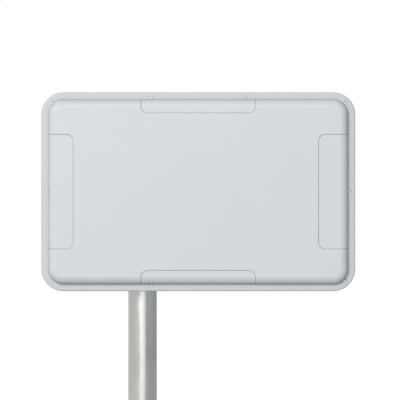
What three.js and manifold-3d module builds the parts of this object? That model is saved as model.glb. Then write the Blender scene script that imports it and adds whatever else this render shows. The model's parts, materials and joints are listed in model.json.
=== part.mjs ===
// Security gate post: a flat antenna panel clamped off centre to a round steel post with a floor plate.
// Millimetres. The origin is on the post's axis at the floor, +Z is up and the panel faces -Y.
import * as THREE from "three";
import { mergeVertices } from "three/addons/utils/BufferGeometryUtils.js";
import Module from "manifold-3d";

const wasm = await Module();
wasm.setup();

// ---- Driving dimensions ----

const GAP = 0.3; // left between pieces that touch
const FAR = 400; // longer than any cut has to be
const MERGE = 1e-3; // points nearer than this are one
const OVERSHOOT = 1; // how far a cut or a joined piece runs past a face
const SCREW_CLEARANCE = 0.4; // between a cover screw and the sides of its hole

const PANEL_WIDTH = 650;
const PANEL_HEIGHT = 412;
const PANEL_CORNER = 46;
const PANEL_CENTRE_HEIGHT = 950;
const PANEL_OFFSET = 118; // panel centre to post axis, sideways
const RIM_TO_POST = 82; // rim's front plane to post axis

const RIM_WIDTH = 15.7;
const RIM_THICKNESS = 4;
const RIM_EDGE = 3;
const COVER_WALL = 3;
const PILLOW_RISE = 20;
const PILLOW_SHOULDER = 17;
const RECESS_DEPTH = 1.5;
const RECESS_LENGTH = 236;
const RECESS_CORNER = 14;
const RECESS_LEFT = 67.5; // from the panel's outer edge to the recess's inner side
const RECESS_RIGHT = 77.5;
const RECESS_TOP_BOTTOM = 44;

const COVER_SCREW_INSET = 11.5;
const COVER_SCREW_X = 97;
const COVER_SCREW_RADIUS = 2;
const COVER_SCREW_LENGTH = 15;
const COVER_HEAD_RADIUS = 3.4;
const COVER_HEAD_HEIGHT = 1.7;
const COUNTERBORE_DEPTH = 2.2;
const SCREW_SIDES = 8;

const GASKET_THICKNESS = 1.5;
const GASKET_INSET = 3;
const TRAY_DEPTH = 25;
const TRAY_WALL = 3;
const TRAY_INSET = 18;
const TRAY_SHOULDER = 12;
const TRAY_RIM_EDGE = 2.5;
const TRAY_BOSS_RADIUS = 5.5;
const TRAY_BOSS_LENGTH = 14;
const TRAY_BOSS_END = 1.5; // closed end of the boss
const TRAY_RIB_WIDTH = 12;
const TRAY_RIB_HEIGHT = 2;
const TRAY_RIB_HEIGHTS = [-24, 24, 72, 120];
const TRAY_RIB_ENDS = [10, 262];

const POST_RADIUS = 30.15;
const POST_WALL = 3;
const POST_TOP = 1128;
const POST_SIDES = 32;
const PLATE_SIZE = 240;
const PLATE_THICKNESS = 12;
const PLATE_CORNER = 15;
const ANCHOR_SPACING = 190;
const ANCHOR_HOLE_RADIUS = 7;
const ENTRY_HOLE_RADIUS = 8;
const ENTRY_HOLE_X = 14;
const GUSSET_THICKNESS = 8;
const GUSSET_HEIGHT = 80;
const GUSSET_REACH = 105;
const GUSSET_SNIPE = 13;
const GUSSET_TOE = 10; // height of its outer end
const GUSSET_TOP = 14; // width of its upper end
const WELD_LEG = 7;
const CAP_SKIRT = 18;
const CAP_WALL = 2.5;
const CAP_CROWN = 5;
const CABLE_EXIT_RADIUS = 10;
const GROMMET_FLANGE_RADIUS = 13;
const GROMMET_BORE_RADIUS = 6;
const GROMMET_INNER_END = 21; // from the post's axis
const GROMMET_PROUD = 2.4; // past the post's surface

const CLAMP_SPACING = 200;
const CLAMP_HEIGHT = 30;
const CLAMP_BORE = POST_RADIUS + 0.35;
const CLAMP_HALF_WIDTH = 54;
const CLAMP_PARTING = 1.5; // each half stops this far short of the post's axis
const CLAMP_BOLT_X = 43.5;
const CLAMP_BOLT_RADIUS = 4;
const CLAMP_BOLT_SPARE = 10; // past the strap, for the nut
const CLAMP_HEX_RADIUS = 7.5;
const CLAMP_HEAD_HEIGHT = 5.3;
const CLAMP_NUT_HEIGHT = 6.5;
const SADDLE_CHAMFER = 4;
const SADDLE_SHOULDER = 16;
const STRAP_EAR = 10;
const STRAP_OUTER = 37;

const BRACKET_HEIGHT = 230;
const BRACKET_HALF_WEB = 59.5;
const BRACKET_HALF_WIDTH = 92;
const BRACKET_SHEET = 3.5;
const BRACKET_STAND_OFF = 10;
const BRACKET_CORNER = 12;
const BRACKET_SCREW_X = 76;
const BRACKET_SCREW_Y = 100;
const BRACKET_SCREW_RADIUS = 3;
const BRACKET_SCREW_LENGTH = 15;
const BRACKET_HEX_RADIUS = 5.6;
const BRACKET_HEAD_HEIGHT = 4.2;
const BRACKET_FLANGE_RADIUS = 7;
const FLANGE_HEIGHT = 1.2;
const BRACKET_BOSS_RADIUS = 9;
const BRACKET_BOSS_FRONT = -16; // in the panel's frame, as is the next
const BRACKET_HOLE_FRONT = -18;

const COLLAR_RADIUS = 41;
const COLLAR_HEIGHT = 16;
const COLLAR_SLOT = 3;
const COLLAR_EAR_HALF_WIDTH = 13.5;
const COLLAR_EAR_REACH = 60;
const COLLAR_SCREW_Y = 50;
const COLLAR_SCREW_RADIUS = 3;
const COLLAR_SCREW_SPARE = 7; // past the ears, for the nut
const COLLAR_HEAD_RADIUS = 5;
const COLLAR_HEAD_HEIGHT = 6;
const COLLAR_HEX_RADIUS = 5.6;
const COLLAR_NUT_HEIGHT = 5;

const GLAND_AT = [60, -85];
const GLAND_THREAD_RADIUS = 8;
const GLAND_BORE_RADIUS = 4.5;
const GLAND_HEX_RADIUS = 12.5;
const GLAND_HEX_HEIGHT = 6;
const GLAND_THREAD_OUTSIDE = 9;
const GLAND_THREAD_INSIDE = 8;
const GLAND_CAP_RADIUS = 11;
const GLAND_CAP_NOSE = 7.5;
const GLAND_CAP_LENGTH = 16;
const GLAND_CAP_TAPER = 6;
const LOCKNUT_HEX_RADIUS = 13;
const LOCKNUT_HEIGHT = 4;
const VENT_AT = [120, -85];
const VENT_RADIUS = 4;
const VENT_FLANGE_RADIUS = 8.5;
const VENT_TOP_RADIUS = 6;
const VENT_HEIGHT = 4.5;
const VENT_RIM = 3;

const CARRIER_WIDTH = 580;
const CARRIER_HEIGHT = 340;
const CARRIER_THICKNESS = 3;
const CARRIER_FRONT = -5;
const CARRIER_LIP = 3;
const CARRIER_CORNER = 25;
const CARRIER_SCREW_LENGTH = 16;
const CARRIER_HEAD_RADIUS = 4;
const CARRIER_HEAD_HEIGHT = 2.4;
const CARRIER_BOSS_RADIUS = 5.5;
const CARRIER_HOLE_BACK = -24;
const CARRIER_SCREW_X = 240;
const CARRIER_SCREW_Y = 118;
const LOOP_WIDTH = 540;
const LOOP_HEIGHT = 300;
const LOOP_CORNER = 40;
const LOOP_STRIP = 14;
const LOOP_THICKNESS = 2;
const LOOP_GAP = 24;
const LEAD_RADIUS = 1.6;
const LEAD_HOLE_RADIUS = 14;
const LEAD_HOLE_Y = -118;

const BOARD_CENTRE = [60, 0];
const BOARD_WIDTH = 120;
const BOARD_HEIGHT = 80;
const BOARD_THICKNESS = 1.6;
const BOARD_BACK = -20;
const BOARD_SCREW_X = 52;
const BOARD_SCREW_Y = 32;
const BOARD_POST_RADIUS = 4;
const BOARD_SCREW_RADIUS = 1.5;
const BOARD_SCREW_LENGTH = 7;
const BOARD_HEAD_RADIUS = 2.8;
const BOARD_HEAD_HEIGHT = 1.8;
const CAN_SIDES = [12, 66, -14, 30]; // left, right, bottom, top
const CAN_HEIGHT = 8;
const CAN_WALL = 0.8;
const TERMINAL_AT = [30, -32];
const TERMINAL_HALF_WIDTH = 11;
const TERMINAL_HALF_DEPTH = 5;
const TERMINAL_HEIGHT = 9;
const TERMINAL_PITCH = 5; // from the block's middle to each way
const TERMINAL_WAY = 2.2;
const CAPACITOR_AT = [92, 6];
const CAPACITOR_HALF = 8;
const CAPACITOR_BASE = 4;
const CAPACITOR_ROTOR_RADIUS = 6;
const CAPACITOR_HEIGHT = 7;

// ---- Places that follow from them, in the panel's frame: x right, y up, z towards the front ----

const GASKET_FRONT = -RIM_THICKNESS - GAP;
const TRAY_FRONT = GASKET_FRONT - GASKET_THICKNESS - GAP;
const TRAY_RIM_BACK = TRAY_FRONT - RIM_THICKNESS;
const TRAY_BACK = TRAY_FRONT - TRAY_DEPTH;
const TRAY_FLOOR = TRAY_BACK + TRAY_WALL;
const FOOT_FRONT = TRAY_BACK - GAP;
const FOOT_BACK = FOOT_FRONT - BRACKET_SHEET;
const WEB_FRONT = FOOT_FRONT - BRACKET_STAND_OFF;
const WEB_BACK = WEB_FRONT - BRACKET_SHEET;
const BOARD_FRONT = BOARD_BACK + BOARD_THICKNESS + GAP; // where parts on the board sit
const ENTRY_SEAT = TRAY_BACK - GAP; // where the gland and the vent sit
const POST_X = -PANEL_OFFSET;
const POST_Z = -RIM_TO_POST;
const COLLAR_TOP = PANEL_CENTRE_HEIGHT - CLAMP_SPACING / 2 - CLAMP_HEIGHT / 2 - GAP;

// ---- Materials ----

const finish = (color, roughness, metalness) =>
  new THREE.MeshStandardMaterial({ color, roughness, metalness });
const shellPlastic = finish(0xdde1e4, 0.42, 0);
const postSteel = finish(0xa9abaa, 0.38, 0.9);
const zincSteel = finish(0xb7babd, 0.3, 0.95);
const clampAlloy = finish(0xa6a9ac, 0.45, 0.9);
const blackPlastic = finish(0x232527, 0.5, 0);
const blackRubber = finish(0x17181a, 0.8, 0);
const sealFoam = finish(0x3a3c3e, 0.9, 0);
const copper = finish(0xb8734a, 0.3, 1);
const circuitBoard = finish(0x2d6a45, 0.5, 0);
const naturalPlastic = finish(0xe8e6dc, 0.6, 0);

// ---- Solids ----

function toSolid(geometry) {
  const bare = geometry.index ? geometry.toNonIndexed() : geometry.clone();
  bare.deleteAttribute("normal");
  bare.deleteAttribute("uv");
  const merged = mergeVertices(bare, MERGE);
  const vertProperties = merged.attributes.position.array;
  const triVerts = new Uint32Array(merged.index.array);
  return new wasm.Manifold(new wasm.Mesh({ numProp: 3, vertProperties, triVerts }));
}

function toGeometry(solid) {
  const mesh = solid.getMesh();
  const stride = mesh.numProp;
  const points = new Float32Array(mesh.numVert * 3);
  for (let i = 0; i < mesh.numVert; i++) {
    points.set(mesh.vertProperties.subarray(i * stride, i * stride + 3), i * 3);
  }
  const geometry = new THREE.BufferGeometry()
    .setAttribute("position", new THREE.BufferAttribute(points, 3))
    .setIndex(new THREE.BufferAttribute(mesh.triVerts, 1))
    .toNonIndexed();
  geometry.computeVertexNormals();
  return geometry;
}

const join = (...solids) => solids.reduce((sum, next) => sum.add(next));
const cut = (solid, ...tools) => tools.reduce((rest, tool) => rest.subtract(tool), solid);

function box(x0, x1, y0, y1, z0, z1) {
  const geometry = new THREE.BoxGeometry(x1 - x0, y1 - y0, z1 - z0);
  return toSolid(geometry.translate((x0 + x1) / 2, (y0 + y1) / 2, (z0 + z1) / 2));
}

// A round or many-sided bar along z, from z0 to z1, with its axis at (x, y).
function barZ(radius, x, y, z0, z1, sides = 12, turn = 0) {
  const geometry = new THREE.CylinderGeometry(radius, radius, z1 - z0, sides);
  geometry.rotateX(Math.PI / 2).rotateZ(turn);
  return toSolid(geometry.translate(x, y, (z0 + z1) / 2));
}

function barX(radius, x0, x1, y, z, sides = 12) {
  const geometry = new THREE.CylinderGeometry(radius, radius, x1 - x0, sides);
  return toSolid(geometry.rotateZ(Math.PI / 2).translate((x0 + x1) / 2, y, z));
}

function barY(radius, y0, y1, x, z, sides = 12) {
  const geometry = new THREE.CylinderGeometry(radius, radius, y1 - y0, sides);
  return toSolid(geometry.translate(x, (y0 + y1) / 2, z));
}

// A turned piece about z: its profile is a list of [radius, z] and closes on itself or on the axis.
function turned(profile, sides = 16) {
  const points = profile.map(([r, z]) => new THREE.Vector2(r, z));
  return toSolid(new THREE.LatheGeometry(points, sides).rotateX(Math.PI / 2));
}

function roundedRectangle(width, height, corner) {
  const x = width / 2 - corner;
  const y = height / 2 - corner;
  const quarter = Math.PI / 2;
  return new THREE.Shape()
    .absarc(x, -y, corner, -quarter, 0)
    .absarc(x, y, corner, 0, quarter)
    .absarc(-x, y, corner, quarter, 2 * quarter)
    .absarc(-x, -y, corner, 2 * quarter, 3 * quarter)
    .closePath();
}

function slab(shape, z0, z1, curveSegments = 4) {
  const options = { depth: z1 - z0, bevelEnabled: false, curveSegments };
  return toSolid(new THREE.ExtrudeGeometry(shape, options).translate(0, 0, z0));
}

// A rounded block from its flat back to its face, with its front edge rounded over.
function pillow(width, height, corner, back, front, shoulder, steps) {
  const shape = roundedRectangle(width - 2 * shoulder, height - 2 * shoulder, corner - shoulder);
  const geometry = new THREE.ExtrudeGeometry(shape, {
    depth: front - back,
    bevelThickness: shoulder,
    bevelSize: shoulder,
    bevelSegments: steps,
    curveSegments: 4,
  });
  geometry.translate(0, 0, back - shoulder);
  return cut(toSolid(geometry), box(-FAR, FAR, -FAR, FAR, -FAR, back));
}

// The same block turned round, with its rounded edge at the back.
function backPillow(width, height, corner, front, back, shoulder, steps) {
  return pillow(width, height, corner, -front, -back, shoulder, steps).rotate([0, 180, 0]);
}

const insetPanel = (inset) => [
  PANEL_WIDTH - 2 * inset,
  PANEL_HEIGHT - 2 * inset,
  PANEL_CORNER - inset,
];

function coverScrewPlaces() {
  const x = PANEL_WIDTH / 2 - COVER_SCREW_INSET;
  const y = PANEL_HEIGHT / 2 - COVER_SCREW_INSET;
  const back = (PANEL_CORNER - COVER_SCREW_INSET) * (1 - Math.SQRT1_2);
  const places = [
    [-x, 0],
    [x, 0],
  ];
  for (const side of [-1, 1]) {
    places.push([-COVER_SCREW_X, side * y], [COVER_SCREW_X, side * y]);
    places.push([-x + back, side * (y - back)], [x - back, side * (y - back)]);
  }
  return places;
}

const corners = (x, y) => [
  [-x, -y],
  [x, -y],
  [-x, y],
  [x, y],
];
const bracketScrewPlaces = corners(BRACKET_SCREW_X, BRACKET_SCREW_Y).map(([x, y]) => [POST_X + x, y]);
const carrierScrewPlaces = corners(CARRIER_SCREW_X, CARRIER_SCREW_Y);
const boardPostPlaces = corners(BOARD_SCREW_X, BOARD_SCREW_Y).map(([x, y]) => [
  BOARD_CENTRE[0] + x,
  BOARD_CENTRE[1] + y,
]);
const boardScrewPlaces = [boardPostPlaces[1], boardPostPlaces[2]];
// Bars along z at several places, to join as bosses or to cut as holes.
const bars = (places, radius, z0, z1) =>
  places.map(([x, y]) => barZ(radius, x, y, z0, z1, SCREW_SIDES));
const holes = bars;

// ---- Panel: front cover, seal and rear tray ----

// The four shallow fields that run from the face over the shoulder to the rim.
function recessFields() {
  const halfWidth = PANEL_WIDTH / 2;
  const halfHeight = PANEL_HEIGHT / 2;
  const field = (x0, x1, y0, y1) => {
    const shape = roundedRectangle(x1 - x0, y1 - y0, RECESS_CORNER);
    return slab(shape, GAP, FAR).translate((x0 + x1) / 2, (y0 + y1) / 2, 0);
  };
  const half = RECESS_LENGTH / 2;
  const outside = FAR / 2;
  return join(
    field(-halfWidth - outside, -halfWidth + RECESS_LEFT, -half, half),
    field(halfWidth - RECESS_RIGHT, halfWidth + outside, -half, half),
    field(-half, half, halfHeight - RECESS_TOP_BOTTOM, halfHeight + outside),
    field(-half, half, -halfHeight - outside, -halfHeight + RECESS_TOP_BOTTOM),
  );
}

function frontCover() {
  const rim = pillow(...insetPanel(0), -RIM_THICKNESS, 0, RIM_EDGE, 3);
  const raised = (inward) =>
    pillow(
      ...insetPanel(RIM_WIDTH + inward),
      -RIM_THICKNESS / 2,
      PILLOW_RISE - inward,
      PILLOW_SHOULDER - inward,
      6,
    );
  const hollow = pillow(
    ...insetPanel(RIM_WIDTH + COVER_WALL),
    -RIM_THICKNESS - OVERSHOOT,
    PILLOW_RISE - COVER_WALL,
    PILLOW_SHOULDER - COVER_WALL,
    4,
  );
  const outer = raised(0);
  const recesses = outer.subtract(raised(RECESS_DEPTH)).intersect(recessFields());
  const places = coverScrewPlaces();
  return cut(
    join(rim, outer),
    hollow,
    recesses,
    ...holes(places, COVER_SCREW_RADIUS + SCREW_CLEARANCE, -FAR, FAR),
    ...holes(places, COVER_HEAD_RADIUS + SCREW_CLEARANCE, -COUNTERBORE_DEPTH, FAR),
  );
}

function sealGasket() {
  const outer = slab(
    roundedRectangle(...insetPanel(GASKET_INSET)),
    GASKET_FRONT - GASKET_THICKNESS,
    GASKET_FRONT,
  );
  const window = slab(roundedRectangle(...insetPanel(TRAY_INSET)), -FAR, FAR);
  const screwHoles = holes(coverScrewPlaces(), COVER_SCREW_RADIUS + SCREW_CLEARANCE, -FAR, FAR);
  return cut(outer, window, ...screwHoles);
}

function trayRibs() {
  const [x0, x1] = TRAY_RIB_ENDS;
  return TRAY_RIB_HEIGHTS.map((y) => {
    const shape = roundedRectangle(x1 - x0, TRAY_RIB_WIDTH, TRAY_RIB_WIDTH / 2 - 10 * MERGE);
    const rib = slab(shape, TRAY_BACK - TRAY_RIB_HEIGHT, TRAY_BACK + OVERSHOOT, 2);
    return rib.translate((x0 + x1) / 2, y, 0);
  });
}

function rearTray() {
  const rim = backPillow(...insetPanel(0), TRAY_FRONT, TRAY_RIM_BACK, TRAY_RIM_EDGE, 2);
  const pan = backPillow(...insetPanel(TRAY_INSET), TRAY_FRONT, TRAY_BACK, TRAY_SHOULDER, 4);
  const hollow = backPillow(
    ...insetPanel(TRAY_INSET + TRAY_WALL),
    TRAY_FRONT + OVERSHOOT,
    TRAY_FLOOR,
    TRAY_SHOULDER - TRAY_WALL,
    3,
  );
  const screwPlaces = coverScrewPlaces();
  const bossBack = TRAY_FRONT - TRAY_BOSS_LENGTH;
  const seat = CARRIER_FRONT - CARRIER_THICKNESS - GAP;
  const intoFloor = TRAY_FLOOR - OVERSHOOT;
  const rimBosses = bars(screwPlaces, TRAY_BOSS_RADIUS, bossBack, TRAY_FRONT - OVERSHOOT);
  return cut(
    join(
      cut(join(rim, pan, ...rimBosses), hollow),
      ...bars(bracketScrewPlaces, BRACKET_BOSS_RADIUS, intoFloor, BRACKET_BOSS_FRONT),
      ...bars(carrierScrewPlaces, CARRIER_BOSS_RADIUS, intoFloor, seat),
      ...bars(boardPostPlaces, BOARD_POST_RADIUS, intoFloor, BOARD_BACK - GAP),
      ...trayRibs(),
    ),
    ...holes(screwPlaces, COVER_SCREW_RADIUS + SCREW_CLEARANCE, bossBack + TRAY_BOSS_END, FAR),
    ...holes(bracketScrewPlaces, BRACKET_SCREW_RADIUS + GAP, -FAR, BRACKET_HOLE_FRONT),
    ...holes(carrierScrewPlaces, COVER_SCREW_RADIUS + GAP, CARRIER_HOLE_BACK, FAR),
    ...holes(boardScrewPlaces, BOARD_SCREW_RADIUS + GAP, TRAY_FLOOR + 1, FAR),
    barZ(GLAND_THREAD_RADIUS + GAP, ...GLAND_AT, -FAR, FAR, 16),
    barZ(VENT_RADIUS + GAP, ...VENT_AT, -FAR, FAR, 16),
  );
}

// ---- Fasteners, each along z with its head's seat at z = 0 and its shank towards -z ----

function panHeadScrew(radius, length, headRadius, headHeight) {
  const edge = headHeight * 0.45;
  return turned(
    [
      [0, -length],
      [radius, -length + radius * 0.6],
      [radius, 0],
      [headRadius, 0],
      [headRadius, headHeight - edge],
      [headRadius - edge, headHeight],
      [0, headHeight],
    ],
    SCREW_SIDES,
  );
}

function hexBolt(radius, length, hexRadius, hexHeight, flangeRadius = 0) {
  const parts = [barZ(radius, 0, 0, -length, OVERSHOOT), barZ(hexRadius, 0, 0, 0, hexHeight, 6)];
  if (flangeRadius) parts.push(barZ(flangeRadius, 0, 0, 0, FLANGE_HEIGHT, 16));
  return join(...parts);
}

function hexNut(bore, hexRadius, height) {
  return cut(barZ(hexRadius, 0, 0, 0, height, 6), barZ(bore, 0, 0, -OVERSHOOT, height + OVERSHOOT));
}

// ---- Inside the panel ----

function antennaCarrier() {
  const back = CARRIER_FRONT - CARRIER_THICKNESS;
  const outline = (inset) =>
    roundedRectangle(CARRIER_WIDTH - 2 * inset, CARRIER_HEIGHT - 2 * inset, CARRIER_CORNER - inset);
  return cut(
    slab(outline(0), back, CARRIER_FRONT + CARRIER_LIP),
    slab(outline(CARRIER_LIP), CARRIER_FRONT, FAR),
    ...holes(carrierScrewPlaces, COVER_SCREW_RADIUS + GAP, -FAR, FAR),
    barZ(LEAD_HOLE_RADIUS, 0, LEAD_HOLE_Y, -FAR, FAR),
  );
}

// Open loop of flat copper strip with a gap at the middle of its lower side.
function antennaLoop() {
  const back = CARRIER_FRONT + GAP;
  const front = back + LOOP_THICKNESS;
  const inner = [LOOP_WIDTH - 2 * LOOP_STRIP, LOOP_HEIGHT - 2 * LOOP_STRIP, LOOP_CORNER - LOOP_STRIP];
  return cut(
    slab(roundedRectangle(LOOP_WIDTH, LOOP_HEIGHT, LOOP_CORNER), back, front),
    slab(roundedRectangle(...inner), -FAR, FAR),
    box(-LOOP_GAP / 2, LOOP_GAP / 2, -FAR, 0, -FAR, FAR),
  );
}

// One of the two leads from the terminals through the carrier to an end of the loop.
function feedLead(side) {
  const stripY = (LOOP_STRIP - LOOP_HEIGHT) / 2;
  const onStrip = CARRIER_FRONT + 2 * GAP + LOOP_THICKNESS + LEAD_RADIUS;
  const route = [
    [TERMINAL_AT[0] + 5 * side, TERMINAL_AT[1] - 6, BOARD_BACK + 7],
    [TERMINAL_AT[0] + 5 * side, TERMINAL_AT[1] - 30, BOARD_BACK + 7],
    [12 + 5 * side, LEAD_HOLE_Y + 18, -14],
    [4 * side, LEAD_HOLE_Y, -5],
    [9 * side, stripY + 12, onStrip + 1],
    [(LOOP_GAP / 2 + 4) * side, stripY + 3, onStrip],
    [(LOOP_GAP / 2 + 5) * side, stripY - 3, onStrip],
  ].map((point) => new THREE.Vector3(...point));
  const section = new THREE.Shape().absarc(0, 0, LEAD_RADIUS, 0, 2 * Math.PI);
  const extrudePath = new THREE.CatmullRomCurve3(route);
  const options = { steps: 18, extrudePath, curveSegments: 3, bevelEnabled: false };
  return toSolid(new THREE.ExtrudeGeometry(section, options));
}

function tuningBoard() {
  const [x, y] = BOARD_CENTRE;
  const halfWidth = BOARD_WIDTH / 2;
  const halfHeight = BOARD_HEIGHT / 2;
  const front = BOARD_BACK + BOARD_THICKNESS;
  return cut(
    box(x - halfWidth, x + halfWidth, y - halfHeight, y + halfHeight, BOARD_BACK, front),
    ...holes(boardScrewPlaces, BOARD_SCREW_RADIUS + GAP, -FAR, FAR),
  );
}

function shieldCan() {
  const top = BOARD_FRONT + CAN_HEIGHT;
  const wall = CAN_WALL;
  const [x0, x1, y0, y1] = CAN_SIDES;
  return cut(
    box(x0, x1, y0, y1, BOARD_FRONT, top),
    box(x0 + wall, x1 - wall, y0 + wall, y1 - wall, BOARD_FRONT - OVERSHOOT, top - wall),
  );
}

function terminalBlock() {
  const [x, y] = TERMINAL_AT;
  const seat = BOARD_FRONT;
  const halfWidth = TERMINAL_HALF_WIDTH;
  const halfDepth = TERMINAL_HALF_DEPTH;
  const way = TERMINAL_WAY;
  const ways = [x - TERMINAL_PITCH, x + TERMINAL_PITCH];
  const wells = ways.map((at) => barZ(way, at, y + 1, seat + 5, FAR, 8));
  const mouths = ways.map((at) => box(at - way, at + way, y - 9, y - 3, seat + 2, seat + 7));
  return cut(
    box(x - halfWidth, x + halfWidth, y - halfDepth, y + halfDepth, seat, seat + TERMINAL_HEIGHT),
    ...wells,
    ...mouths,
  );
}

function tuningCapacitor() {
  const [x, y] = CAPACITOR_AT;
  const half = CAPACITOR_HALF;
  const rotorTop = BOARD_FRONT + CAPACITOR_HEIGHT;
  const base = box(x - half, x + half, y - half, y + half, BOARD_FRONT, BOARD_FRONT + CAPACITOR_BASE);
  const rotor = barZ(CAPACITOR_ROTOR_RADIUS, x, y, BOARD_FRONT + CAPACITOR_BASE - OVERSHOOT, rotorTop, 16);
  const slot = box(x - half, x + half, y - 0.6, y + 0.6, rotorTop - 1.5, FAR);
  return cut(join(base, rotor), slot);
}

// ---- Cable gland and vent on the tray's back, turned about z with the outside towards -z ----

function glandBody() {
  const hexBack = ENTRY_SEAT - GLAND_HEX_HEIGHT;
  const back = hexBack - GLAND_THREAD_OUTSIDE;
  const front = TRAY_FLOOR + GLAND_THREAD_INSIDE;
  const hex = cut(
    barZ(GLAND_HEX_RADIUS, 0, 0, hexBack, ENTRY_SEAT, 6),
    barZ(GLAND_BORE_RADIUS, 0, 0, -FAR, FAR),
  );
  const tube = turned([
    [GLAND_BORE_RADIUS, back],
    [GLAND_THREAD_RADIUS, back],
    [GLAND_THREAD_RADIUS, front],
    [GLAND_BORE_RADIUS, front],
    [GLAND_BORE_RADIUS, back],
  ]);
  return join(hex, tube);
}

function glandCap() {
  const front = ENTRY_SEAT - GLAND_HEX_HEIGHT - GAP;
  const back = front - GLAND_CAP_LENGTH;
  const shoulder = back + GLAND_CAP_TAPER;
  const inner = GLAND_THREAD_RADIUS + GAP;
  return turned([
    [inner, front],
    [inner, shoulder],
    [GLAND_BORE_RADIUS, shoulder - 1],
    [GLAND_BORE_RADIUS, back],
    [GLAND_CAP_NOSE, back],
    [GLAND_CAP_RADIUS, shoulder],
    [GLAND_CAP_RADIUS, front],
    [inner, front],
  ]);
}

function ventPlug() {
  const back = ENTRY_SEAT - VENT_HEIGHT;
  const front = TRAY_FLOOR + TRAY_WALL;
  return turned([
    [0, back],
    [VENT_TOP_RADIUS, back],
    [VENT_FLANGE_RADIUS, ENTRY_SEAT - VENT_RIM],
    [VENT_FLANGE_RADIUS, ENTRY_SEAT],
    [VENT_RADIUS, ENTRY_SEAT],
    [VENT_RADIUS, front],
    [0, front],
  ]);
}

// ---- Bracket and clamps ----

// Extrudes an outline drawn in the panel's x-z plane over a height in y.
function alongHeight(outline, y0, y1, curveSegments = 8) {
  const options = { depth: y1 - y0, bevelEnabled: false, curveSegments };
  const geometry = new THREE.ExtrudeGeometry(outline, options);
  return toSolid(geometry.rotateX(Math.PI / 2).translate(0, y1, 0));
}

function polygon(points) {
  return new THREE.Shape(points.map(([x, y]) => new THREE.Vector2(x, y)));
}

// Hat section: two feet on the tray, two walls and a web that the clamps bolt to.
function hatBracket() {
  const inner = BRACKET_HALF_WEB - BRACKET_SHEET;
  const half = [
    [inner, WEB_FRONT],
    [inner, FOOT_FRONT],
    [BRACKET_HALF_WIDTH, FOOT_FRONT],
    [BRACKET_HALF_WIDTH, FOOT_BACK],
    [BRACKET_HALF_WEB, FOOT_BACK],
    [BRACKET_HALF_WEB, WEB_BACK],
  ];
  const mirrored = half.map(([x, z]) => [-x, z]).reverse();
  const h = BRACKET_HEIGHT / 2;
  const section = alongHeight(polygon([...half, ...mirrored]), -h, h);
  const trim = slab(roundedRectangle(2 * BRACKET_HALF_WIDTH, BRACKET_HEIGHT, BRACKET_CORNER), -FAR, FAR);
  const hat = section.intersect(trim);
  return cut(
    hat.translate(POST_X, 0, 0),
    ...holes(bracketScrewPlaces, BRACKET_SCREW_RADIUS + GAP, -FAR, FAR),
    ...holes(clampBoltPlaces, CLAMP_BOLT_RADIUS + GAP, -FAR, FAR),
  );
}

const clampBoltPlaces = corners(CLAMP_BOLT_X, CLAMP_SPACING / 2).map(([x, y]) => [POST_X + x, y]);

// Angle at which a circle of this radius about the post's axis meets the parting plane.
const partingAngle = (radius, distance) => Math.asin(distance / radius);

function clampSaddle(centreY) {
  const front = WEB_BACK - GAP - POST_Z;
  const w = CLAMP_HALF_WIDTH;
  const start = partingAngle(CLAMP_BORE, CLAMP_PARTING);
  const outline = new THREE.Shape();
  outline.moveTo(w, CLAMP_PARTING);
  outline.lineTo(w, SADDLE_SHOULDER);
  outline.lineTo(w - SADDLE_CHAMFER, front);
  outline.lineTo(-w + SADDLE_CHAMFER, front);
  outline.lineTo(-w, SADDLE_SHOULDER);
  outline.lineTo(-w, CLAMP_PARTING);
  outline.absarc(0, 0, CLAMP_BORE, Math.PI - start, start, true);
  outline.closePath();
  return clampHalf(outline, centreY);
}

function clampStrap(centreY) {
  const w = CLAMP_HALF_WIDTH;
  const ear = CLAMP_PARTING + STRAP_EAR;
  const inside = partingAngle(CLAMP_BORE, CLAMP_PARTING);
  const outside = partingAngle(STRAP_OUTER, ear);
  const outline = new THREE.Shape();
  outline.moveTo(-w, -CLAMP_PARTING);
  outline.lineTo(-w, -ear);
  outline.absarc(0, 0, STRAP_OUTER, Math.PI + outside, 2 * Math.PI - outside, false);
  outline.lineTo(w, -ear);
  outline.lineTo(w, -CLAMP_PARTING);
  outline.absarc(0, 0, CLAMP_BORE, 2 * Math.PI - inside, Math.PI + inside, true);
  outline.closePath();
  return clampHalf(outline, centreY);
}

// Outlines are drawn about the post's axis; y of the outline is towards the panel's front.
function clampHalf(outline, centreY) {
  const y0 = centreY - CLAMP_HEIGHT / 2;
  const solid = alongHeight(outline, y0, y0 + CLAMP_HEIGHT, 8).translate(POST_X, 0, POST_Z);
  return cut(solid, ...holes(clampBoltPlaces, CLAMP_BOLT_RADIUS + GAP, -FAR, FAR));
}

// ---- Post, in the object's frame ----

function postTube() {
  const bottom = PLATE_THICKNESS + GAP;
  return cut(
    barZ(POST_RADIUS, 0, 0, bottom, POST_TOP, POST_SIDES),
    barZ(POST_RADIUS - POST_WALL, 0, 0, 0, POST_TOP + 1, POST_SIDES),
    barY(CABLE_EXIT_RADIUS, 0, FAR, 0, PANEL_CENTRE_HEIGHT, 16),
  );
}

function postCap() {
  const inner = POST_RADIUS - POST_WALL - GAP;
  const seat = POST_TOP + GAP;
  return turned(
    [
      [0, seat],
      [inner - CAP_WALL, seat],
      [inner - CAP_WALL, POST_TOP - CAP_SKIRT],
      [inner, POST_TOP - CAP_SKIRT],
      [inner, seat],
      [POST_RADIUS, seat],
      [POST_RADIUS, seat + 2],
      [POST_RADIUS - 2, seat + 4],
      [0, seat + CAP_CROWN],
    ],
    POST_SIDES,
  );
}

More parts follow.
